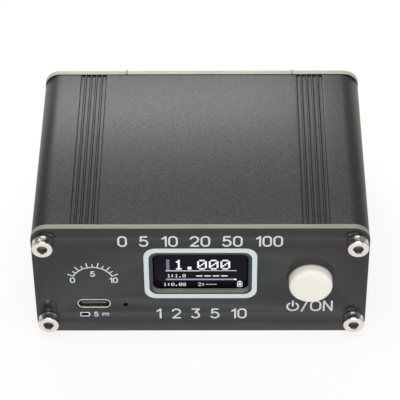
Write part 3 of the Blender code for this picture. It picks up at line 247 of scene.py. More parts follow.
# Floor and its lift towards white
FLOOR_REACH = 3.0
FLOOR_DROP = 0.02 * MM
FLOOR_GLOW = 0.85

# Lamps: place, aim, size and power
LAMPS = {
    "low_back_lamp": ((-0.02, 0.12, 0.09), (0, 0, 0.035), (0.12, 0.04), 0.082),
    "back_lamp": ((-0.1, 0.5, 0.5), (0, 0, 0.03), (0.6, 0.3), 0.93),
    "top_lamp": ((0, -0.1, 0.7), (0, 0, 0.02), (0.5, 0.5), 3.5),
    "front_lamp": ((0, -0.6, 0.12), (0, 0, 0.02), (0.5, 0.15), 0.86),
    "right_lamp": ((0.45, -0.3, 0.2), (0, 0, 0.03), (0.3, 0.3), 0.4),
    "left_lamp": ((-0.45, -0.3, 0.2), (0, 0, 0.03), (0.3, 0.3), 0.15),
}
ROOM_GLOW = 0.28

# Facets of round pieces
FINE_STEPS = 96
ROUND_STEPS = 64
CORNER_STEPS = 16
SMALL_STEPS = 4

# Places read from the frame
FRONT_LOW, FRONT_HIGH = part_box("front_panel")
HALF_WIDTH = FRONT_HIGH.x
HEIGHT = FRONT_HIGH.z
MIDDLE_Z = HEIGHT / 2
FRONT_FACE_Y = FRONT_LOW.y
CASE_FRONT_Y = FRONT_HIGH.y + FRONT_SEAT
CASE_BACK_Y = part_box("case_bottom")[1].y
FLANGE_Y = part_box("rear_panel")[1].y + FLANGE_ROOM

FRONT_SCREWS = [f"front_screw_{number}" for number in range(1, 5)]
REAR_SCREWS = [f"rear_screw_{number}" for number in range(1, 5)]
FLANGE_SCREWS = [f"{use}_screw_{number}" for use in USES for number in range(1, 5)]
SLOT_OF = {entry["node"]: entry["material_slot"] for entry in frame["record"]["subparts"]}
PIECES = bpy.context.scene.collection


def middle(node):
    """The middle of a node's box."""
    low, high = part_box(node)
    return (low + high) / 2


def extent(node):
    """The size of a node's box."""
    low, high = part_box(node)
    return high - low


def new_object(name, data):
    made = bpy.data.objects.new(name, data)
    PIECES.objects.link(made)
    return made


def shaped(name, shape):
    """Turns a finished bmesh into an object."""
    mesh = bpy.data.meshes.new(name)
    shape.to_mesh(mesh)
    shape.free()
    return new_object(name, mesh)


def baked(maker):
    """Swaps an object for one whose plain mesh is the shape that its curve or modifiers gave it."""
    graph = bpy.context.evaluated_depsgraph_get()
    mesh = bpy.data.meshes.new_from_object(maker.evaluated_get(graph), depsgraph=graph)
    shape = bmesh.new()
    shape.from_mesh(mesh)
    bmesh.ops.remove_doubles(shape, verts=shape.verts, dist=WELD)
    shape.to_mesh(mesh)
    shape.free()
    name = maker.name
    bpy.data.objects.remove(maker, do_unlink=True)
    mesh.name = name
    return new_object(name, mesh)


def combined(base, other, operation):
    """The base with another object joined to it or cut out of it. The other is used up."""
    change = base.modifiers.new(operation.lower(), "BOOLEAN")
    change.operation = operation
    change.solver = "EXACT"
    change.object = other
    result = baked(base)
    bpy.data.objects.remove(other, do_unlink=True)
    return result


def cut(base, cutter):
    return combined(base, cutter, "DIFFERENCE")


def join(base, other):
    return combined(base, other, "UNION")


def gathered(name, pieces):
    """One object that holds the meshes of several pieces that lie clear of each other."""
    shape = bmesh.new()
    for piece in pieces:
        shape.from_mesh(piece.data)
        bpy.data.objects.remove(piece, do_unlink=True)
    return shaped(name, shape)


def moved(piece, matrix):
    """Moves a shape within its own mesh."""
    piece.data.transform(matrix)
    return piece


def lifted(piece, height):
    return moved(piece, Matrix.Translation((0, 0, height)))


def standing(piece, y, x=0.0, z=0.0):
    """Turns a flat shape to stand upright, with what was up facing the front, and puts it in its place."""
    return moved(piece, Matrix.Translation((x, y, z)) @ Matrix.Rotation(QUARTER_TURN, 4, "X"))


def dressed(piece, look, replaces=None, body="housing"):
    """Smooths a finished piece, gives it its look, body and slot, and hides the node it stands for."""
    piece.data.shade_smooth()
    piece.data.set_sharp_from_angle(angle=SMOOTH_ANGLE)
    if look:
        piece.data.materials.clear()
        piece.data.materials.append(look)
    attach(piece, body)
    if replaces:
        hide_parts(replaces)


def arc(centre, radius, start, end, steps):
    """Points from one angle to another, in degrees, both ends included."""
    points = []
    for step in range(steps + 1):
        angle = math.radians(start + (end - start) * step / steps)
        points.append((centre[0] + radius * math.cos(angle), centre[1] + radius * math.sin(angle)))
    return points


def circle(centre, radius, steps=ROUND_STEPS):
    return arc(centre, radius, 0, 360, steps)[:-1]


def rounded(centre, width, height, corner, steps=CORNER_STEPS):
    """A rectangle with round corners."""
    x, y = width / 2 - corner, height / 2 - corner
    outline = []
    for side_x, side_y, start in ((1, 1, 0), (-1, 1, 90), (-1, -1, 180), (1, -1, 270)):
        spot = (centre[0] + side_x * x, centre[1] + side_y * y)
        outline += arc(spot, corner, start, start + 90, steps)
    return outline


def mirrored(points):
    """The same points left to right, in the order that keeps an outline running one way."""
    return [(-x, y) for x, y in reversed(points)]


def eased(points, radius, steps=SMALL_STEPS):
    """A run of points with each of its inner corners rounded off."""
    result = [points[0]]
    for before, corner, after in zip(points, points[1:], points[2:]):
        corner = Vector(corner)
        back = (Vector(before) - corner).normalized()
        on = (Vector(after) - corner).normalized()
        half = back.angle(on) / 2
        centre = corner + (back + on).normalized() * radius / math.sin(half)
        first = corner + back * radius / math.tan(half) - centre
        last = corner + on * radius / math.tan(half) - centre
        start = math.degrees(math.atan2(first.y, first.x))
        turn = math.degrees(math.atan2(last.y, last.x)) - start
        turn = (turn + 180) % 360 - 180
        result += arc(centre, radius, start, start + turn, steps)
    return result + [points[-1]]


def plate(name, outlines, thickness, edge=0.0):
    """A flat outline with its holes, made solid about its own middle plane, with softened rims."""
    curve = bpy.data.curves.new(name, "CURVE")
    curve.dimensions = "2D"
    curve.fill_mode = "BOTH"
    curve.extrude = thickness / 2 - edge
    curve.bevel_depth = edge
    curve.bevel_resolution = 1
    curve.offset = -edge
    for outline in outlines:
        spline = curve.splines.new("POLY")
        spline.points.add(len(outline) - 1)
        for point, (x, y) in zip(spline.points, outline):
            point.co = (x, y, 0, 1)
        spline.use_cyclic_u = True
    return baked(new_object(name, curve))


def block(name, size, bevel=0.0, segments=3):
    """A box about its own middle, with its edges rounded where a bevel is given."""
    shape = bmesh.new()
    bmesh.ops.create_cube(shape, size=1)
    bmesh.ops.scale(shape, vec=size, verts=shape.verts)
    made = shaped(name, shape)
    if not bevel:
        return made
    edges = made.modifiers.new("bevel", "BEVEL")
    edges.width = bevel
    edges.segments = segments
    return baked(made)


def prism(name, sides, radius, top_radius, height):
    """An upright prism or cone that stands on its own origin."""
    shape = bmesh.new()
    bmesh.ops.create_cone(
        shape,
        cap_ends=True,
        segments=sides,
        radius1=radius,
        radius2=top_radius,
        depth=height,
        matrix=Matrix.Translation((0, 0, height / 2)),
    )
    return shaped(name, shape)


def turned(name, profile, steps=ROUND_STEPS, closed=False):
    """A shape turned about Z. The profile's points are (radius, height), down the outer side."""
    shape = bmesh.new()
    rings = [shape.verts.new((radius, 0, height)) for radius, height in profile]
    for first, second in zip(rings, rings[1:]):
        shape.edges.new((first, second))
    if closed:
        shape.edges.new((rings[-1], rings[0]))
    made = shaped(name, shape)
    turn = made.modifiers.new("turn", "SCREW")
    turn.steps = steps
    turn.render_steps = steps
    turn.use_merge_vertices = True
    turn.merge_threshold = WELD
    return baked(made)


def threaded(name, crest, root, pitch, low, high, columns, rows=8):
    """An upright rod with a helical thread, which fades into the rod at both ends."""
    shape = bmesh.new()
    total = math.ceil((high - low) / pitch + 2) * rows
    grid = []
    for column in range(columns + 1):
        angle = 2 * math.pi * column / columns
        line = []
        for row in range(total + 1):
            height = low + pitch * (row / rows - column / columns)
            height = min(max(height, low), high)
            wave = (1 - math.cos(2 * math.pi * row / rows)) / 2
            fade = min((height - low) / pitch, (high - height) / pitch, 1)
            radius = root + (crest - root) * wave * fade
            line.append(shape.verts.new((radius * math.cos(angle), radius * math.sin(angle), height)))
        grid.append(line)
    for left, right in zip(grid, grid[1:]):
        for row in range(total):
            shape.faces.new((left[row], right[row], right[row + 1], left[row + 1]))
    bmesh.ops.remove_doubles(shape, verts=shape.verts, dist=WELD)
    bmesh.ops.dissolve_degenerate(shape, edges=shape.edges, dist=WELD)
    rims = [edge for edge in shape.edges if edge.is_boundary]
    bmesh.ops.holes_fill(shape, edges=rims, sides=0)
    bmesh.ops.recalc_face_normals(shape, faces=shape.faces)
    return shaped(name, shape)


class Look:
    """A Principled material with short ways to add texture nodes to it."""

    def __init__(self, name, colour, roughness, metallic=0.0):
        self.material = bpy.data.materials.new(name)
        self.material.use_nodes = True
        self.tree = self.material.node_tree
        self.shader = self.tree.nodes["Principled BSDF"]
        self.colour = colour
        self.roughness = roughness
        self.set("Metallic", metallic)
        self.set("Base Color", (*colour, 1.0))
        self.set("Roughness", roughness)
        self.place = self.tree.nodes.new("ShaderNodeTexCoord").outputs["Object"]

    def set(self, socket, value):
        self.shader.inputs[socket].default_value = value

    def node(self, kind, links=(), **values):
        made = self.tree.nodes.new(kind)
        for key, value in values.items():
            setattr(made, key, value)
        for socket, source in links:
            if hasattr(source, "links"):
                self.tree.links.new(source, made.inputs[socket])
            else:
                made.inputs[socket].default_value = source
        return made

    def noise(self, size, detail=3.0, along=None):
        """Noise with features of a size in metres, drawn out along the axes whose scale is small."""
        place = self.place
        if along:
            place = self.node("ShaderNodeMapping", [("Vector", place), ("Scale", along)]).outputs["Vector"]
        links = [("Vector", place), ("Scale", 1 / size), ("Detail", detail)]
        return self.node("ShaderNodeTexNoise", links).outputs["Fac"]

    def spread(self, value, low=0.0, high=1.0):
        """Turns a value's middle range, 0.3 to 0.7, into another range."""
        links = [("Value", value), ("From Min", 0.3), ("From Max", 0.7), ("To Min", low), ("To Max", high)]
        return self.node("ShaderNodeMapRange", links).outputs["Result"]

    def blend(self, amount, first, second):
        """A colour between two others."""
        links = [(0, amount), (6, (*first, 1.0)), (7, (*second, 1.0))]
        return self.node("ShaderNodeMix", links, data_type="RGBA").outputs[2]

    def feed(self, socket, source):
        self.tree.links.new(source, self.shader.inputs[socket])

    def mottled(self, size, amount, detail=3.0):
        """Lets the colour vary a little from place to place."""
        darker = [channel * (1 - amount) for channel in self.colour]
        lighter = [min(channel * (1 + amount), 1.0) for channel in self.colour]
        value = self.spread(self.noise(size, detail))
        self.feed("Base Color", self.blend(value, darker, lighter))

    def worn(self, size, amount):
        """Lets the roughness vary a little from place to place."""
        value = self.noise(size)
        self.feed("Roughness", self.spread(value, self.roughness - amount, self.roughness + amount))

    def grained(self, size, depth, strength=1.0, detail=2.0, along=None):
        """Raises a fine grain of a size and depth in metres."""
        links = [("Height", self.noise(size, detail, along)), ("Distance", depth), ("Strength", strength)]
        self.feed("Normal", self.node("ShaderNodeBump", links).outputs["Normal"])


def anodised_look():
    look = Look("anodised", (0.047, 0.045, 0.043), 0.42, 0.55)
    look.mottled(0.3 * MM, 0.5, 2.0)
    look.worn(0.4 * MM, 0.06)
    look.grained(0.25 * MM, 0.03 * MM, 0.6)
    return look.material


def mask_look():
    look = Look("solder_mask", (0.012, 0.012, 0.014), 0.16)
    look.mottled(6 * MM, 0.12)
    look.worn(1.5 * MM, 0.03)
    look.grained(1.2 * MM, 0.01 * MM, 0.15)
    return look.material


def board_edge_look(name, darkest, palest):
    """The milled edge of glass-fibre board, with its layers of cloth."""
    look = Look(name, palest, 0.55)
    layers = look.spread(look.noise(0.18 * MM, 2.0, (0.02, 1.0, 0.02)))
    look.feed("Base Color", look.blend(layers, darkest, palest))
    look.grained(0.1 * MM, 0.02 * MM, 0.5, 2.0, (0.3, 1.0, 0.3))
    return look.material


def ink_look():
    look = Look("white_print", (0.64, 0.7, 0.71), 0.5)
    look.mottled(0.3 * MM, 0.05)
    look.grained(0.15 * MM, 0.01 * MM, 0.4)
    return look.material


def metal_look(name, colour, roughness):
    look = Look(name, colour, roughness, 1.0)
    look.mottled(2 * MM, 0.05)
    look.worn(0.3 * MM, 0.06)
    look.grained(0.3 * MM, 0.004 * MM, 0.3, 3.0)
    return look.material


def plastic_look(name, colour, roughness, size=0.2 * MM, depth=0.008 * MM):
    look = Look(name, colour, roughness)
    look.mottled(3 * MM, 0.06)
    look.worn(1 * MM, 0.04)
    look.grained(size, depth, 0.4)
    return look.material


def cap_look():
    look = Look("cap", (0.86, 0.84, 0.76), 0.38)
    look.mottled(2 * MM, 0.015)
    look.worn(0.8 * MM, 0.04)
    look.grained(0.25 * MM, 0.006 * MM, 0.3)
    look.set("Subsurface Weight", 0.15)
    look.set("Subsurface Radius", (1.2, 1.0, 0.7))
    look.set("Subsurface Scale", 0.8 * MM)
    return look.material


def glass_look():
    look = Look("display_glass", (0.006, 0.005, 0.009), 0.05)
    look.set("Specular IOR Level", 0.08)
    look.mottled(2 * MM, 0.2)
    look.worn(3 * MM, 0.015)
    return look.material


def glow_look(name, colour, strength):
    """Lit dots, a little uneven from one to the next."""
    look = Look(name, (0.02, 0.02, 0.03), 0.3)
    uneven = look.spread(look.noise(0.5 * MM, 1.0), 0.85, 1.0)
    dimmer = [channel * 0.8 for channel in colour]
    look.feed("Emission Color", look.blend(uneven, dimmer, colour))
    look.set("Emission Strength", strength)
    return look.material


def board_look(name, colour, trace):
    """Solder mask over copper tracks, which show as paler lines."""
    look = Look(name, colour, 0.35)
    links = [("Vector", look.place), ("Scale", 1 / (9 * MM)), ("Brick Width", 0.6), ("Row Height", 0.18)]
    links += [("Mortar Size", 0.02), ("Mortar", (1, 1, 1, 1))]
    links += [(socket, (0, 0, 0, 1)) for socket in ("Color1", "Color2")]
    tracks = look.node("ShaderNodeTexBrick", links).outputs["Color"]
    look.feed("Base Color", look.blend(tracks, colour, trace))
    look.worn(1 * MM, 0.05)
    return look.material


def battery_look():
    look = Look("battery", (0.6, 0.62, 0.65), 0.35, 0.5)
    look.mottled(4 * MM, 0.08)
    look.worn(1 * MM, 0.08)
    look.grained(1.6 * MM, 0.08 * MM, 0.5, 4.0)
    return look.material


def foam_look():
    look = Look("foam", (0.08, 0.08, 0.08), 0.9)
    look.mottled(0.4 * MM, 0.4)
    look.grained(0.3 * MM, 0.1 * MM, 1.0)
    return look.material


def make_looks():
    """Every material of the meter by its slot's name, and a few more for print, edges and the painted shade
    in the screws' key recesses.
    """
    metals = {
        "screw_steel": ((0.78, 0.745, 0.69), 0.24),
        # Darker, rougher steel for the screws' key recesses: painted shade, standing for the shadow and dark
        # reflections inside them.
        "recess_painted_shade": ((0.35, 0.3, 0.28), 0.5),
        "spring_steel": ((0.72, 0.7, 0.67), 0.3),
        "usb_steel": ((0.75, 0.73, 0.68), 0.22),
        "nickel": ((0.7, 0.69, 0.66), 0.22),
        "gold": ((0.85, 0.6, 0.22), 0.25),
        "copper": ((0.6, 0.22, 0.08), 0.3),
    }
    plastics = {
        "usb_tongue": ((0.1, 0.1, 0.1), 0.45),
        "header": ((0.02, 0.02, 0.02), 0.5),
        "switch": ((0.03, 0.03, 0.03), 0.5),
        "flex": ((0.45, 0.22, 0.05), 0.4),
        "light": ((0.85, 0.85, 0.8), 0.2),
        "chip": ((0.03, 0.03, 0.035), 0.5, 0.1 * MM, 0.02 * MM),
        "nylon": ((0.82, 0.8, 0.73), 0.45),
        "red_lead": ((0.6, 0.03, 0.03), 0.4),
        "black_lead": ((0.02, 0.02, 0.02), 0.4),
        "ferrite": ((0.06, 0.06, 0.065), 0.7, 0.15 * MM, 0.03 * MM),
        "ptfe": ((0.82, 0.81, 0.78), 0.45),
    }
    looks = {
        "anodised": anodised_look(),
        "solder_mask": mask_look(),
        # Both panels' edges are the same glass-fibre board: the front's colour is darker as painted shade,
        # and the rear's paler as painted light.
        "front_panel": board_edge_look("front_board_edge_painted_shade", (0.19, 0.205, 0.15), (0.27, 0.285, 0.22)),
        "rear_panel": board_edge_look("rear_board_edge_painted_light", (0.3, 0.3, 0.235), (0.43, 0.42, 0.34)),
        "ink": ink_look(),
        "cap": cap_look(),
        "display_glass": glass_look(),
        "dots": glow_look("lit_dots", (0.92, 0.96, 1.0), 1.0),
        "bars": glow_look("lit_bars", (0.36, 0.36, 0.55), 0.9),
        "green_board": board_look("green_board", (0.02, 0.16, 0.07), (0.04, 0.27, 0.1)),
        "display_board": board_look("display_board", (0.02, 0.05, 0.2), (0.04, 0.1, 0.32)),
        "battery": battery_look(),
        "foam": foam_look(),
    }
    looks.update({name: metal_look(name, *values) for name, values in metals.items()})
    looks.update({name: plastic_look(name, *values) for name, values in plastics.items()})
    return looks


def case_outer_points():
    """The right half of the underside, from the corner's top to the groove nearest the middle."""
    corner = (HALF_WIDTH - CASE_CORNER, CASE_CORNER - MIDDLE_Z)
    base = -MIDDLE_Z
    grooves = []
    for number in range(GROOVE_COUNT):
        centre = HALF_WIDTH - GROOVE_INSET - GROOVE_TOP / 2 - number * GROOVE_PITCH
        half = [(GROOVE_TOP / 2, 0), (GROOVE_FLOOR / 2, GROOVE_DEPTH)]
        grooves += [(centre + away, base + depth) for away, depth in half + mirrored(half)]
    start = (grooves[0][0] + GROOVE_TOP, base)
    end = (grooves[-1][0] - GROOVE_TOP, base)
    return arc(corner, CASE_CORNER, 0, -90, CORNER_STEPS) + eased([start] + grooves + [end], GROOVE_ROUND)


def case_inner_points():
    """The right inner side, from the floor up: screw channel, slot for the board, and its upper rail."""
    wall = HALF_WIDTH - CASE_WALL
    floor = CASE_WALL - MIDDLE_Z
    screw = middle("front_screw_3")
    screw = (abs(screw.x), -abs(screw.z - MIDDLE_Z))
    boss = screw[0] - CHANNEL_RADIUS - CHANNEL_WALL
    mouth = math.degrees(math.asin(CHANNEL_MOUTH / 2 / CHANNEL_RADIUS))
    board_low, board_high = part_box("main_board")
    slot_bottom = board_low.z - BOARD_ROOM - MIDDLE_Z
    slot_top = board_high.z + BOARD_ROOM - MIDDLE_Z
    rail_top = slot_top + RAIL_THICKNESS
    return [
        (boss, floor),
        (boss, screw[1] - CHANNEL_MOUTH / 2),
        *arc(screw, CHANNEL_RADIUS, mouth - 180, 180 - mouth, 2 * CORNER_STEPS),
        (boss, screw[1] + CHANNEL_MOUTH / 2),
        (boss, slot_bottom),
        (wall, slot_bottom),
        (wall, slot_top),
        (wall - RAIL_REACH, slot_top),
        (wall - RAIL_REACH, rail_top),
        (wall, rail_top),
    ]


def case_outline():
    """The lower half seen from the front. Turned half a turn, it is the upper half."""
    lip = (CASE_WALL - CASE_SEAM) / 2
    wall = HALF_WIDTH - CASE_WALL
    step, floor, seam = HALF_WIDTH - lip, -TONGUE_HEIGHT - CASE_SEAM, -CASE_SEAM / 2
    outer = case_outer_points()
    inner = case_inner_points()
    rebate = [(wall, floor), (step, floor), (step, seam), (HALF_WIDTH, seam)]
    tongue = [(-HALF_WIDTH, seam), (-wall - lip, seam), (-wall - lip, TONGUE_HEIGHT), (-wall, TONGUE_HEIGHT)]
    return outer + mirrored(outer) + tongue + mirrored(inner) + inner + rebate


def make_case(looks):
    """Both halves of the grooved case."""
    length = CASE_BACK_Y - CASE_FRONT_Y
    centre_y = (CASE_BACK_Y + CASE_FRONT_Y) / 2
    for node, turn in (("case_bottom", 0.0), ("case_top", HALF_TURN)):
        half = plate(f"{node}_shell", [case_outline()], length, CASE_EDGE)
        moved(half, Matrix.Rotation(turn, 4, "Z"))
        standing(half, centre_y, z=MIDDLE_Z)
        dressed(half, looks["anodised"], node)


def panel_outlines(screws, openings, top=()):
    """The panel about its own middle, with its openings and any points along its top edge."""
    outline = rounded((0, 0), 2 * HALF_WIDTH, HEIGHT, PANEL_CORNER)
    outline[CORNER_STEPS + 1 : CORNER_STEPS + 1] = top
    return [outline] + [circle(flat_place(screw), SCREW_HOLE_RADIUS) for screw in screws] + openings


def flat_place(node):
    """A node's middle in the panel's own plane, about the panel's middle."""
    spot = middle(node)
    return (spot.x, spot.z - MIDDLE_Z)


def front_openings():
    """The window, the charging slot, the pinhole and the button's hole."""
    shell = extent("usb_shell")
    width, height = shell.x + 2 * SLOT_ROOM, shell.z + 2 * SLOT_ROOM
    return [
        rounded((0, WINDOW_RISE), WINDOW_WIDTH, WINDOW_HEIGHT, WINDOW_CORNER),
        rounded(flat_place("usb_shell"), width, height, height / 2),
        circle((middle("status_light").x, LIGHT_HOLE_HEIGHT - MIDDLE_Z), LIGHT_HOLE_RADIUS),
        circle(flat_place("button_cap"), CAP_RADIUS + OPENING_ROOM, FINE_STEPS),
    ]


def nib_points():
    """The two torn stubs on the rear panel's top edge, where it broke off its frame."""
    points = []
    for x in (HALF_WIDTH - NIB_RIGHT_INSET, NIB_LEFT_INSET - HALF_WIDTH):
        points += [(x + NIB_WIDTH * across, HEIGHT / 2 + NIB_HEIGHT * up) for across, up in NIB_SHARES]
    return points


def sliced(piece, height):
    """Splits the faces of a mesh that cross a height."""
    shape = bmesh.new()
    shape.from_mesh(piece.data)
    parts = shape.verts[:] + shape.edges[:] + shape.faces[:]
    bmesh.ops.bisect_plane(shape, geom=parts, plane_co=(0, 0, height), plane_no=(0, 0, 1))
    shape.to_mesh(piece.data)
    shape.free()


def wall_in_painted_shade(spot):
    """Whether a spot lies on the wall of the charging slot or of the pinhole, which take the black mask
    colour as painted shade.
    """
    slot, light, size = middle("usb_shell"), middle("status_light"), extent("usb_shell")
    in_slot = abs(spot.x - slot.x) < size.x / 2 + OPENING_ROOM
    in_pinhole = abs(spot.x - light.x) < 2 * LIGHT_HOLE_RADIUS
    return (in_slot or in_pinhole) and PANEL_CORNER < spot.z < slot.z + size.z


def make_panel(node, outlines, looks):
    """An end panel: glossy mask on both faces and bare glass-fibre board round its edges, but for the
    front's slot and pinhole walls, which take the mask colour as painted shade.
    """
    low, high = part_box(node)
    panel = plate(f"{node}_board", outlines, high.y - low.y, PANEL_EDGE)
    standing(panel, (low.y + high.y) / 2, z=MIDDLE_Z)
    sliced(panel, HEIGHT)
    panel.data.materials.append(looks["solder_mask"])
    panel.data.materials.append(looks[node])
    for face in panel.data.polygons:
        # Mask faces are the panel's own black; the slot's and pinhole's walls are bare board given the mask
        # colour as painted shade.
        mask_or_painted_shade = abs(face.normal.y) > 0.5 or (node == "front_panel" and wall_in_painted_shade(face.center))
        face.material_index = 0 if mask_or_painted_shade and face.center.z < HEIGHT else 1
    dressed(panel, None, node)


def make_panels(looks):
    make_panel("front_panel", panel_outlines(FRONT_SCREWS, front_openings()), looks)
    rear_openings = [circle(flat_place(f"{use}_socket"), COLLAR_RADIUS + OPENING_ROOM) for use in USES]
    make_panel("rear_panel", panel_outlines(REAR_SCREWS + FLANGE_SCREWS, rear_openings, nib_points()), looks)


def tall_head(radius):
    """Half of the outline of a tall cylindrical head, from the middle of its top to its foot."""
    rim = (radius - HEAD_ROUND, HEAD_HEIGHT - HEAD_ROUND)
    foot = (radius - FOOT_ROUND, FOOT_ROUND - HEAD_SEAT)
    side = [(radius, HEAD_FOOT + KNURL_DEPTH), (radius, HEAD_FOOT)]
    base = arc(foot, FOOT_ROUND, 0, -90, SMALL_STEPS)
    return [(0, HEAD_HEIGHT)] + arc(rim, HEAD_ROUND, 90, 0, RIM_STEPS) + side + base


def domed_head():
    """Half of the outline of a low domed head, from the middle of its flat top to its foot."""
    top, rim = Vector((DOMED_TOP, DOMED_HEIGHT)), Vector((DOMED_RADIUS, DOMED_RIM))
    along = rim - top
    bulge = Vector((-along.y, along.x)).normalized() * DOMED_BULGE
    profile = [(0, DOMED_HEIGHT)]
    for step in range(CORNER_STEPS + 1):
        share = step / CORNER_STEPS
        profile.append(tuple(top + along * share + bulge * 4 * share * (1 - share)))
    return profile + [(DOMED_RADIUS, -HEAD_SEAT)]


def knurled(head, radius):
    """Draws in every second line of a tall head's side."""
    for vertex in head.data.vertices:
        across, along, height = vertex.co
        on_side = math.hypot(across, along) > radius - WELD and height > HEAD_FOOT + WELD
        if on_side and round(math.atan2(along, across) * KNURL_TEETH / math.pi) % 2:
            vertex.co.xy *= 1 - KNURL_DEPTH / radius


def screw_shape(name, head, key_width, key_depth, shank, looks):
    """A screw that points down, with the underside of its packed head at its origin."""
    height = head[0][1]
    neck = -HEAD_SEAT - SCREW_PITCH
    profile = head + [(SCREW_ROOT, -HEAD_SEAT), (SCREW_ROOT, neck), (0, neck)]
    screw = turned(name, profile, 2 * KNURL_TEETH)
    if height == HEAD_HEIGHT:
        knurled(screw, max(point[0] for point in head))
    key_radius = key_width / 2 / math.cos(math.radians(30))
    key = prism("key", 6, key_radius, key_radius, key_depth + OVERRUN)
    screw = cut(screw, lifted(key, height - key_depth))
    chamfer = 2 * KEY_CHAMFER
    mouth = prism("mouth", ROUND_STEPS, key_width / 2, key_width / 2 + chamfer, chamfer)
    screw = cut(screw, lifted(mouth, height - KEY_CHAMFER))
    thread = threaded("thread", SCREW_CREST, SCREW_ROOT, SCREW_PITCH, -shank, neck + OVERLAP, SCREW_COLUMNS)
    screw = join(screw, thread)
    screw.data.materials.append(looks["screw_steel"])
    screw.data.materials.append(looks["recess_painted_shade"])
    # The walls and floor of the key recess take the darker steel as painted shade.
    for face in screw.data.polygons:
        inside = face.center.xy.length < key_width / 2 + WELD
        below = height - key_depth - WELD < face.center.z < height - KEY_CHAMFER
        face.material_index = 1 if inside and below else 0
    return screw


def make_screws(looks):
    """The panels' eight screws and the aerial sockets' eight, each with its key turned differently."""
    tall = tall_head(extent(FRONT_SCREWS[0]).x / 2)
    low = domed_head()
    short = extent(FLANGE_SCREWS[0]).y - HEAD_HEIGHT
    shapes = (
        (FRONT_SCREWS, screw_shape("tall_screw", tall, KEY_WIDTH, KEY_DEPTH, SHANK_LENGTH, looks)),
        (REAR_SCREWS, screw_shape("low_screw", low, DOMED_KEY_WIDTH, DOMED_KEY_DEPTH, SHANK_LENGTH, looks)),
        (FLANGE_SCREWS, screw_shape("short_screw", tall, KEY_WIDTH, KEY_DEPTH, short, looks)),
    )
    for group, shape in shapes:
        shank = -min(vertex.co.z for vertex in shape.data.vertices)
        for number, node in enumerate(group):
            low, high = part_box(node)
            spot = middle(node)
            side = 1 if spot.y > 0 else -1
            seat = low.y + shank if side > 0 else high.y - shank
            screw = new_object(f"{node}_body", shape.data.copy())
            moved(screw, Matrix.Rotation(KEY_TURNS[number % len(KEY_TURNS)], 4, "Z"))
            moved(screw, Matrix.Rotation(-side * QUARTER_TURN, 4, "X"))
            moved(screw, Matrix.Translation((spot.x, seat, spot.z)))
            dressed(screw, None, node)
        bpy.data.objects.remove(shape, do_unlink=True)


def make_button(looks):
    """The ivory cap, with a faint crown on its face."""
    low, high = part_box("button_cap")
    spot = middle("button_cap")
    top, flange = high.y - low.y, (high.x - low.x) / 2
    shoulder = top - CAP_CROWN - CAP_ROUND
    face = CAP_RADIUS - CAP_ROUND
    profile = []
    for step in range(CORNER_STEPS):
        share = step / CORNER_STEPS
        profile.append((face * share, top - CAP_CROWN * share**2))
    profile += arc((face, shoulder), CAP_ROUND, 90, 0, CORNER_STEPS)
    profile += eased(
        [
            (CAP_RADIUS, shoulder),
            (CAP_RADIUS, CAP_FLANGE_THICKNESS),
            (flange, CAP_FLANGE_THICKNESS),
            (flange, 0),
            (0, 0),
        ],
        CAP_EDGE,
    )[1:]
    cap = turned("button_cap_body", profile, FINE_STEPS)
    hole = block("hole", (STEM_HOLE_SIDE, STEM_HOLE_SIDE, 2 * STEM_HOLE_DEPTH))
    cap = cut(cap, hole)
    standing(cap, high.y, spot.x, spot.z)
    dressed(cap, looks["cap"], "button_cap", "button")


def make_charging_socket(looks):
    """The socket's thin shell, its tongue and the tongue's plated pads."""
    spot, size = middle("usb_shell"), extent("usb_shell")
    bore = size.z - 2 * USB_WALL
    outlines = [
        rounded((0, 0), size.x, size.z, size.z / 2),
        rounded((0, 0), size.x - 2 * USB_WALL, bore, bore / 2),
    ]
    shell = standing(plate("usb_shell_body", outlines, size.y, USB_LIP), spot.y, spot.x, spot.z)
    dressed(shell, looks["usb_steel"], "usb_shell")

    tongue_low, tongue_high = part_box("usb_tongue")
    size = tongue_high - tongue_low
    outline = rounded((0, 0), size.x, size.z, size.z / 2)
    base = plate("usb_tongue_body", [outline], TONGUE_BASE_DEPTH)
    standing(base, tongue_high.y - TONGUE_BASE_DEPTH / 2)
    reach = size.y - TONGUE_BASE_DEPTH / 2
    tongue = block("tongue", (TONGUE_WIDTH, reach, TONGUE_THICKNESS), TONGUE_EDGE)
    tongue = moved(tongue, Matrix.Translation((0, tongue_low.y + reach / 2, 0)))
    tongue = moved(join(base, tongue), Matrix.Translation((spot.x, 0, spot.z)))
    dressed(tongue, looks["usb_tongue"], "usb_tongue")

    pads = []
    y = tongue_low.y + PAD_SETBACK + PAD_LENGTH / 2
    for number in range(PAD_COUNT):
        x = spot.x + (number - (PAD_COUNT - 1) / 2) * PAD_PITCH
        for side in (-1, 1):
            pad = block("pad", (PAD_WIDTH, PAD_LENGTH, 2 * PAD_RISE), PAD_RISE / 2, 1)
            pads.append(moved(pad, Matrix.Translation((x, y, spot.z + side * TONGUE_THICKNESS / 2))))
    dressed(gathered("usb_pads", pads), looks["gold"])


def dot_cells(text, column, row, scale=1):
    """The lit cells of a line of text, as (column, row, width, height), counted in dots."""
    cells = []
    for number, character in enumerate(text):
        left = column + number * (CHARACTER_WIDTH + 1) * scale
        for line, pattern in enumerate(DOT_ROWS[character].split()):
            for step, mark in enumerate(pattern):
                if mark == "1":
                    cells.append((left + step * scale, row + line * scale, scale, scale))
    return cells


def dot_mesh(name, cells, look):
    """Lit cells of the display, each a thin raised tile."""
    glass_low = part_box("display_glass")[0]
    left = middle("display_glass").x - DOT_COLUMNS * DOT_PITCH / 2
    shape = bmesh.new()
    for column, row, width, height in cells:
        size = (width * DOT_PITCH - DOT_GAP, 2 * DOT_RISE, height * DOT_PITCH - DOT_GAP)
        x = left + (column + width / 2) * DOT_PITCH
        z = DOT_AREA_TOP - (row + height / 2) * DOT_PITCH
        place = Matrix.Translation((x, glass_low.y, z)) @ Matrix.Diagonal((*size, 1))
        bmesh.ops.create_cube(shape, size=1, matrix=place)
    dressed(shaped(name, shape), look)


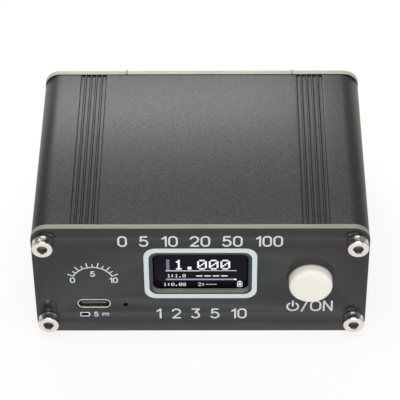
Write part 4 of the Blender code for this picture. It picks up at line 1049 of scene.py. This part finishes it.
def make_display(looks):
    """The dark glass and what is lit on it: a large reading, two small ones, bars and a battery mark."""
    low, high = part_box("display_glass")
    glass = block("display_glass_body", high - low, GLASS_EDGE)
    moved(glass, Matrix.Translation((low + high) / 2))
    dressed(glass, looks["display_glass"], "display_glass")

    bright = dot_cells("1.000", 20, 5, 3) + dot_cells("1:1.0", 9, 36) + dot_cells("1:0.00   2:---", 3, 55)
    bright += [(54 + 13 * number, 39, 10, 2) for number in range(4)]
    bright += [(7, 28, 110, 1), (113, 46, 4, 3)]
    bright += [(118, 53, 8, 1), (118, 63, 8, 1), (118, 54, 1, 9), (125, 54, 1, 9)]
    bright += [(120, 51, 4, 2), (120, 56, 4, 5)]
    dot_mesh("display_reading", bright, looks["dots"])
    faint = [(7, 46, 106, 3), (7, 29, 52, 1)] + [(8, 5 + 4 * step, 5, 2) for step in range(6)]
    dot_mesh("display_bars", faint, looks["bars"])


def stroke(run, width):
    """A flat stroke along a smooth run of points, with round ends, or a ring where the run comes back."""
    points = [Vector(point) for point in run]
    closed = run[0] == run[-1]
    if closed:
        points.pop()
    count = len(points)
    left, right = [], []
    for number, point in enumerate(points):
        before = points[number - 1] if closed or number else point
        after = points[(number + 1) % count] if closed or number < count - 1 else point
        along = (after - before).normalized()
        across = Vector((-along.y, along.x)) * width / 2
        left.append(point + across)
        right.append(point - across)
    if closed:
        return plate("stroke", [left, right], INK_THICKNESS)
    ends = []
    for point, edge in ((points[0], left[0]), (points[-1], right[-1])):
        start = math.degrees(math.atan2(*reversed(edge - point)))
        ends.append(arc(point, width / 2, start, start + 180, 2 * SMALL_STEPS)[1:-1])
    return plate("stroke", [left[::-1] + ends[0] + right + ends[1]], INK_THICKNESS)


def loop(centre, width, height, corner):
    """A rounded rectangle that comes back to its first point."""
    outline = rounded(centre, width, height, corner)
    return outline + outline[:1]


def strokes_of(character):
    """The runs of points of a character's strokes, in shares of its height."""
    shares = {
        "0": [loop((0.3, 0.5), 0.6, 1, 0.28)],
        "1": [[(0.1, 0.78), (0.36, 1)], [(0.36, 1), (0.36, 0)]],
        "2": [arc((0.3, 0.7), 0.3, 165, -32, 20) + [(0.02, 0)], [(0.02, 0), (0.6, 0)]],
        "3": [[(0.04, 1), (0.56, 1)], [(0.56, 1), (0.26, 0.62)], arc((0.26, 0.31), 0.31, 90, -150, 24)],
        "5": [[(0.54, 1), (0.1, 1)], [(0.1, 1), (0.06, 0.56)], arc((0.28, 0.32), 0.32, 133, -150, 24)],
        "O": [loop((0.36, 0.5), 0.72, 1, 0.35)],
        "N": [[(0, 0), (0, 1)], [(0, 1), (0.6, 0)], [(0.6, 0), (0.6, 1)]],
        "/": [[(0, -0.08), (0.45, 1.08)]],
        "[": [loop((0.75, 0.5), 1.5, 0.9, 0.1), [(1.62, 0.36), (1.62, 0.64)]],
        "I": [arc((0.4, 0.42), 0.42, 125, 415, 40), [(0.4, 0.48), (0.4, 1)]],
        "=": [
            [(0, 0.72), (1.1, 0.72)],
            [(0, 0.3), (0.18, 0.3)],
            [(0.46, 0.3), (0.64, 0.3)],
            [(0.92, 0.3), (1.1, 0.3)],
        ],
    }
    return shares[character]


def character_width(character):
    return max(point[0] for run in strokes_of(character) for point in run)


def word_width(word, height):
    shares = sum(character_width(character) + SPACING_SHARE for character in word)
    return shares * height - SPACING_SHARE * height


def word_pieces(word, x, z, height, width):
    """A printed word, from its left end and its foot, as one flat solid for each character."""
    pieces = []
    for character in word:
        made = None
        for run in strokes_of(character):
            line = stroke([(x + height * share_x, z + height * share_z) for share_x, share_z in run], width)
            made = join(made, line) if made else line
        pieces.append(made)
        x += (character_width(character) + SPACING_SHARE) * height
    return pieces


def word_row(words, ends, z, height, width):
    """Words spread evenly between two ends."""
    words = words.split()
    left, right = ends
    room = right - left - sum(word_width(word, height) for word in words)
    gap = room / (len(words) - 1)
    pieces = []
    for word in words:
        pieces += word_pieces(word, left, z, height, width)
        left += word_width(word, height) + gap
    return pieces


def dial_pieces():
    """A small graduated arc over plain numbers."""
    pieces = [stroke(arc((DIAL_X, DIAL_Z), DIAL_RADIUS, DIAL_START, DIAL_END, DIAL_STEPS), FINE_STROKE)]
    for step in range(DIAL_TICKS):
        angle = math.radians(DIAL_START + (DIAL_END - DIAL_START) * step / (DIAL_TICKS - 1))
        reach = DIAL_LONG_TICK if step % 2 == 0 else DIAL_SHORT_TICK
        ends = (DIAL_RADIUS + FINE_STROKE, DIAL_RADIUS + FINE_STROKE + reach)
        run = [(DIAL_X + radius * math.cos(angle), DIAL_Z + radius * math.sin(angle)) for radius in ends]
        pieces.append(stroke(run, FINE_STROKE))
    for word, side in (("0", -1), ("5", 0), ("10", 1)):
        x = DIAL_X + side * DIAL_WORD_OFFSET - word_width(word, DIAL_WORD_HEIGHT) / 2
        lift = DIAL_WORD_RISE if side == 0 else 0.0
        pieces += word_pieces(word, x, DIAL_Z + lift, DIAL_WORD_HEIGHT, FINE_STROKE)
    return pieces


def make_print(looks):
    """The window's white ring, two rows of scale numbers, and generic marks at the socket and button."""
    ring = [
        rounded((0, RING_Z), RING_WIDTH, RING_HEIGHT, RING_CORNER),
        rounded((0, RING_Z), RING_INNER_WIDTH, RING_INNER_HEIGHT, RING_INNER_CORNER),
    ]
    switch_x = middle("button_cap").x - word_width("I/ON", SWITCH_MARK_HEIGHT) / 2
    prints = {
        "window_ring": [plate("ring", ring, INK_THICKNESS)],
        "upper_scale": word_row("0 5 10 20 50 100", UPPER_ENDS, UPPER_Z, SCALE_HEIGHT, INK_STROKE),
        "lower_scale": word_row("1 2 3 5 10", LOWER_ENDS, LOWER_Z, SCALE_HEIGHT, INK_STROKE),
        "supply_marks": word_row("[ 5 =", SUPPLY_ENDS, SUPPLY_Z, SUPPLY_HEIGHT, FINE_STROKE),
        "switch_marks": word_pieces("I/ON", switch_x, SWITCH_MARK_Z, SWITCH_MARK_HEIGHT, INK_STROKE),
        "dial_scale": dial_pieces(),
    }
    for name, pieces in prints.items():
        made = standing(gathered(name, pieces), FRONT_FACE_Y - INK_THICKNESS / 2)
        dressed(made, looks["ink"])


def span(node):
    """How far a node's outer and inner ends lie behind the flange's inner face."""
    low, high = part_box(node)
    return high.y - FLANGE_Y, low.y - FLANGE_Y


def crossed(body, width, depth, reach, top):
    """The body with two slots cut at right angles across its top."""
    for size in ((width, reach, 2 * depth), (reach, width, 2 * depth)):
        body = cut(body, lifted(block("slot", size), top))
    return body


def socket_shape(name):
    """An aerial socket pointing up, about its flange's inner face: flange, threaded barrel and collar."""
    top, bottom = span("transmitter_socket")
    side = extent("transmitter_socket").x
    relief_top = FLANGE_THICKNESS + BARREL_RELIEF_WIDTH
    core = [
        (0, top),
        (BARREL_ROOT - BARREL_CHAMFER / 2, top),
        (BARREL_ROOT, top - BARREL_CHAMFER),
        (BARREL_ROOT, FLANGE_THICKNESS / 2),
        (COLLAR_RADIUS, FLANGE_THICKNESS / 2),
        (COLLAR_RADIUS, bottom),
        (0, bottom),
    ]
    body = turned(name, core, FINE_STEPS)
    outlines = [rounded((0, 0), side, side, FLANGE_CORNER)]
    for node in FLANGE_SCREWS[:4]:
        offset = middle(node) - middle("transmitter_socket")
        outlines.append(circle((offset.x, offset.z), SCREW_HOLE_RADIUS))
    depth = FLANGE_THICKNESS + HEAD_SEAT
    flange = plate("flange", outlines, depth, FLANGE_EDGE)
    body = join(body, lifted(flange, depth / 2 - HEAD_SEAT))
    root = BARREL_ROOT - OVERLAP
    thread = threaded("thread", BARREL_RADIUS, root, BARREL_PITCH, relief_top, top - OVERLAP, ROUND_STEPS)
    body = join(body, thread)
    bore = [
        (0, top + OVERRUN),
        (BARREL_BORE_RADIUS + BARREL_CHAMFER / 2 + OVERRUN, top + OVERRUN),
        (BARREL_BORE_RADIUS, top - BARREL_CHAMFER / 2),
        (BARREL_BORE_RADIUS, FLANGE_THICKNESS),
        (COLLAR_BORE_RADIUS, FLANGE_THICKNESS),
        (COLLAR_BORE_RADIUS, bottom - OVERRUN),
        (0, bottom - OVERRUN),
    ]
    body = cut(body, turned("bore", bore, FINE_STEPS))
    return crossed(body, NOTCH_WIDTH, NOTCH_DEPTH, 2 * (BARREL_RADIUS + OVERRUN), top)


def insulator_shape(name):
    """The white sleeve inside the barrel, pointing up, about the flange's inner face."""
    face, bottom = span("transmitter_insulator")
    outer = extent("transmitter_insulator").x / 2
    neck = COLLAR_BORE_RADIUS - INSULATOR_GAP
    stem, room = STEM_RADIUS + INSULATOR_GAP, CONTACT_RADIUS + CONTACT_ROOM
    bore_step = span("transmitter_contact")[0] - CONTACT_BODY_LENGTH - INSULATOR_GAP
    profile = [
        (outer - INSULATOR_EDGE, face),
        (outer, face - INSULATOR_EDGE),
        (outer, INSULATOR_STEP),
        (neck, INSULATOR_STEP),
        (neck, bottom),
        (stem, bottom),
        (stem, bore_step),
        (room, bore_step),
        (room, face - INSULATOR_EDGE),
        (room + INSULATOR_EDGE, face),
    ]
    return turned(name, profile, FINE_STEPS, closed=True)


def contact_shape(name):
    """The gold centre contact, pointing up: a slit tube for the plug's pin, and a stem behind."""
    face, bottom = span("transmitter_contact")
    step = face - CONTACT_BODY_LENGTH
    profile = [
        (0, face - CONTACT_BORE_DEPTH),
        (CONTACT_BORE_RADIUS, face - CONTACT_BORE_DEPTH),
        (CONTACT_BORE_RADIUS, face - CONTACT_EDGE),
        (CONTACT_BORE_RADIUS + CONTACT_EDGE, face),
        (CONTACT_RADIUS - CONTACT_EDGE, face),
        (CONTACT_RADIUS, face - CONTACT_EDGE),
        (CONTACT_RADIUS, step),
        (STEM_RADIUS, step),
        (STEM_RADIUS, bottom),
        (0, bottom),
    ]
    reach = 2 * (CONTACT_RADIUS + OVERRUN)
    return crossed(turned(name, profile), CONTACT_SLIT, CONTACT_SLIT_DEPTH, reach, face)


def make_aerial_sockets(looks):
    """Both sockets on the rear panel, each with its insulator and its contact."""
    kinds = (
        ("socket", socket_shape, "nickel"),
        ("insulator", insulator_shape, "ptfe"),
        ("contact", contact_shape, "gold"),
    )
    for kind, make, slot in kinds:
        shape = make(f"transmitter_{kind}_body")
        for use in USES:
            piece = shape if use == USES[0] else new_object(f"{use}_{kind}_body", shape.data)
            spot = middle(f"{use}_socket")
            place = Matrix.Translation((spot.x, FLANGE_Y, spot.z))
            piece.matrix_world = place @ Matrix.Rotation(-QUARTER_TURN, 4, "X")
            dressed(piece, looks[slot], f"{use}_{kind}")


def dress_nodes(looks):
    """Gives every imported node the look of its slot."""
    for name, node in frame["nodes"].items():
        for slot in node.material_slots:
            slot.material = looks[SLOT_OF[name]]


def floor_look():
    """White paper: lit by the lamps, and lifted towards white for the camera and for reflections."""
    look = Look("floor", (0.86, 0.86, 0.85), 0.9)
    look.mottled(0.4, 0.01)
    path = look.node("ShaderNodeLightPath")
    links = [(0, path.outputs["Is Camera Ray"]), (1, path.outputs["Is Glossy Ray"])]
    seen = look.node("ShaderNodeMath", links, operation="ADD")
    links = [(0, seen.outputs[0]), (1, path.outputs["Is Transmission Ray"])]
    seen = look.node("ShaderNodeMath", links, operation="ADD", use_clamp=True)
    share = look.node("ShaderNodeMath", [(0, seen.outputs[0]), (1, FLOOR_GLOW)], operation="MULTIPLY")
    glow = look.node("ShaderNodeEmission", [("Color", (1, 1, 0.995, 1)), ("Strength", 1.0)])
    links = [("Fac", share.outputs[0]), (1, look.shader.outputs[0]), (2, glow.outputs[0])]
    mixed = look.node("ShaderNodeMixShader", links)
    look.tree.links.new(mixed.outputs[0], look.tree.nodes["Material Output"].inputs["Surface"])
    return look.material


def make_stage():
    shape = bmesh.new()
    bmesh.ops.create_grid(shape, x_segments=1, y_segments=1, size=FLOOR_REACH)
    floor = shaped("floor", shape)
    floor.location.z = -FLOOR_DROP
    floor.data.materials.append(floor_look())


def make_camera():
    data = bpy.data.cameras.new("camera")
    data.lens = CAMERA_LENS
    data.sensor_width = CAMERA_SENSOR
    data.clip_start = CAMERA_NEAR
    camera = new_object("camera", data)
    pitch = Matrix.Rotation(QUARTER_TURN - CAMERA_PITCH, 4, "X")
    roll = Matrix.Rotation(CAMERA_ROLL, 4, "Z")
    yaw = Matrix.Rotation(CAMERA_YAW, 4, "Z")
    camera.matrix_world = Matrix.Translation(CAMERA_PLACE) @ yaw @ pitch @ roll
    bpy.context.scene.camera = camera


def make_lights():
    """Soft rectangular lamps, each facing its aim, in an evenly lit room."""
    for name, (place, aim, size, power) in LAMPS.items():
        data = bpy.data.lights.new(name, "AREA")
        data.shape = "RECTANGLE"
        data.size, data.size_y = size
        data.energy = power
        lamp = new_object(name, data)
        turn = (Vector(aim) - Vector(place)).to_track_quat("-Z", "Y").to_matrix().to_4x4()
        lamp.matrix_world = Matrix.Translation(place) @ turn
        lamp.visible_camera = False
    world = bpy.data.worlds.new("room")
    world.use_nodes = True
    background = world.node_tree.nodes["Background"]
    background.inputs["Color"].default_value = (1, 1, 1, 1)
    background.inputs["Strength"].default_value = ROOM_GLOW
    bpy.context.scene.world = world
    bpy.context.scene.view_settings.view_transform = "Standard"


looks = make_looks()
make_case(looks)
make_panels(looks)
make_screws(looks)
make_button(looks)
make_charging_socket(looks)
make_display(looks)
make_print(looks)
make_aerial_sockets(looks)
dress_nodes(looks)
make_stage()
make_camera()
make_lights()
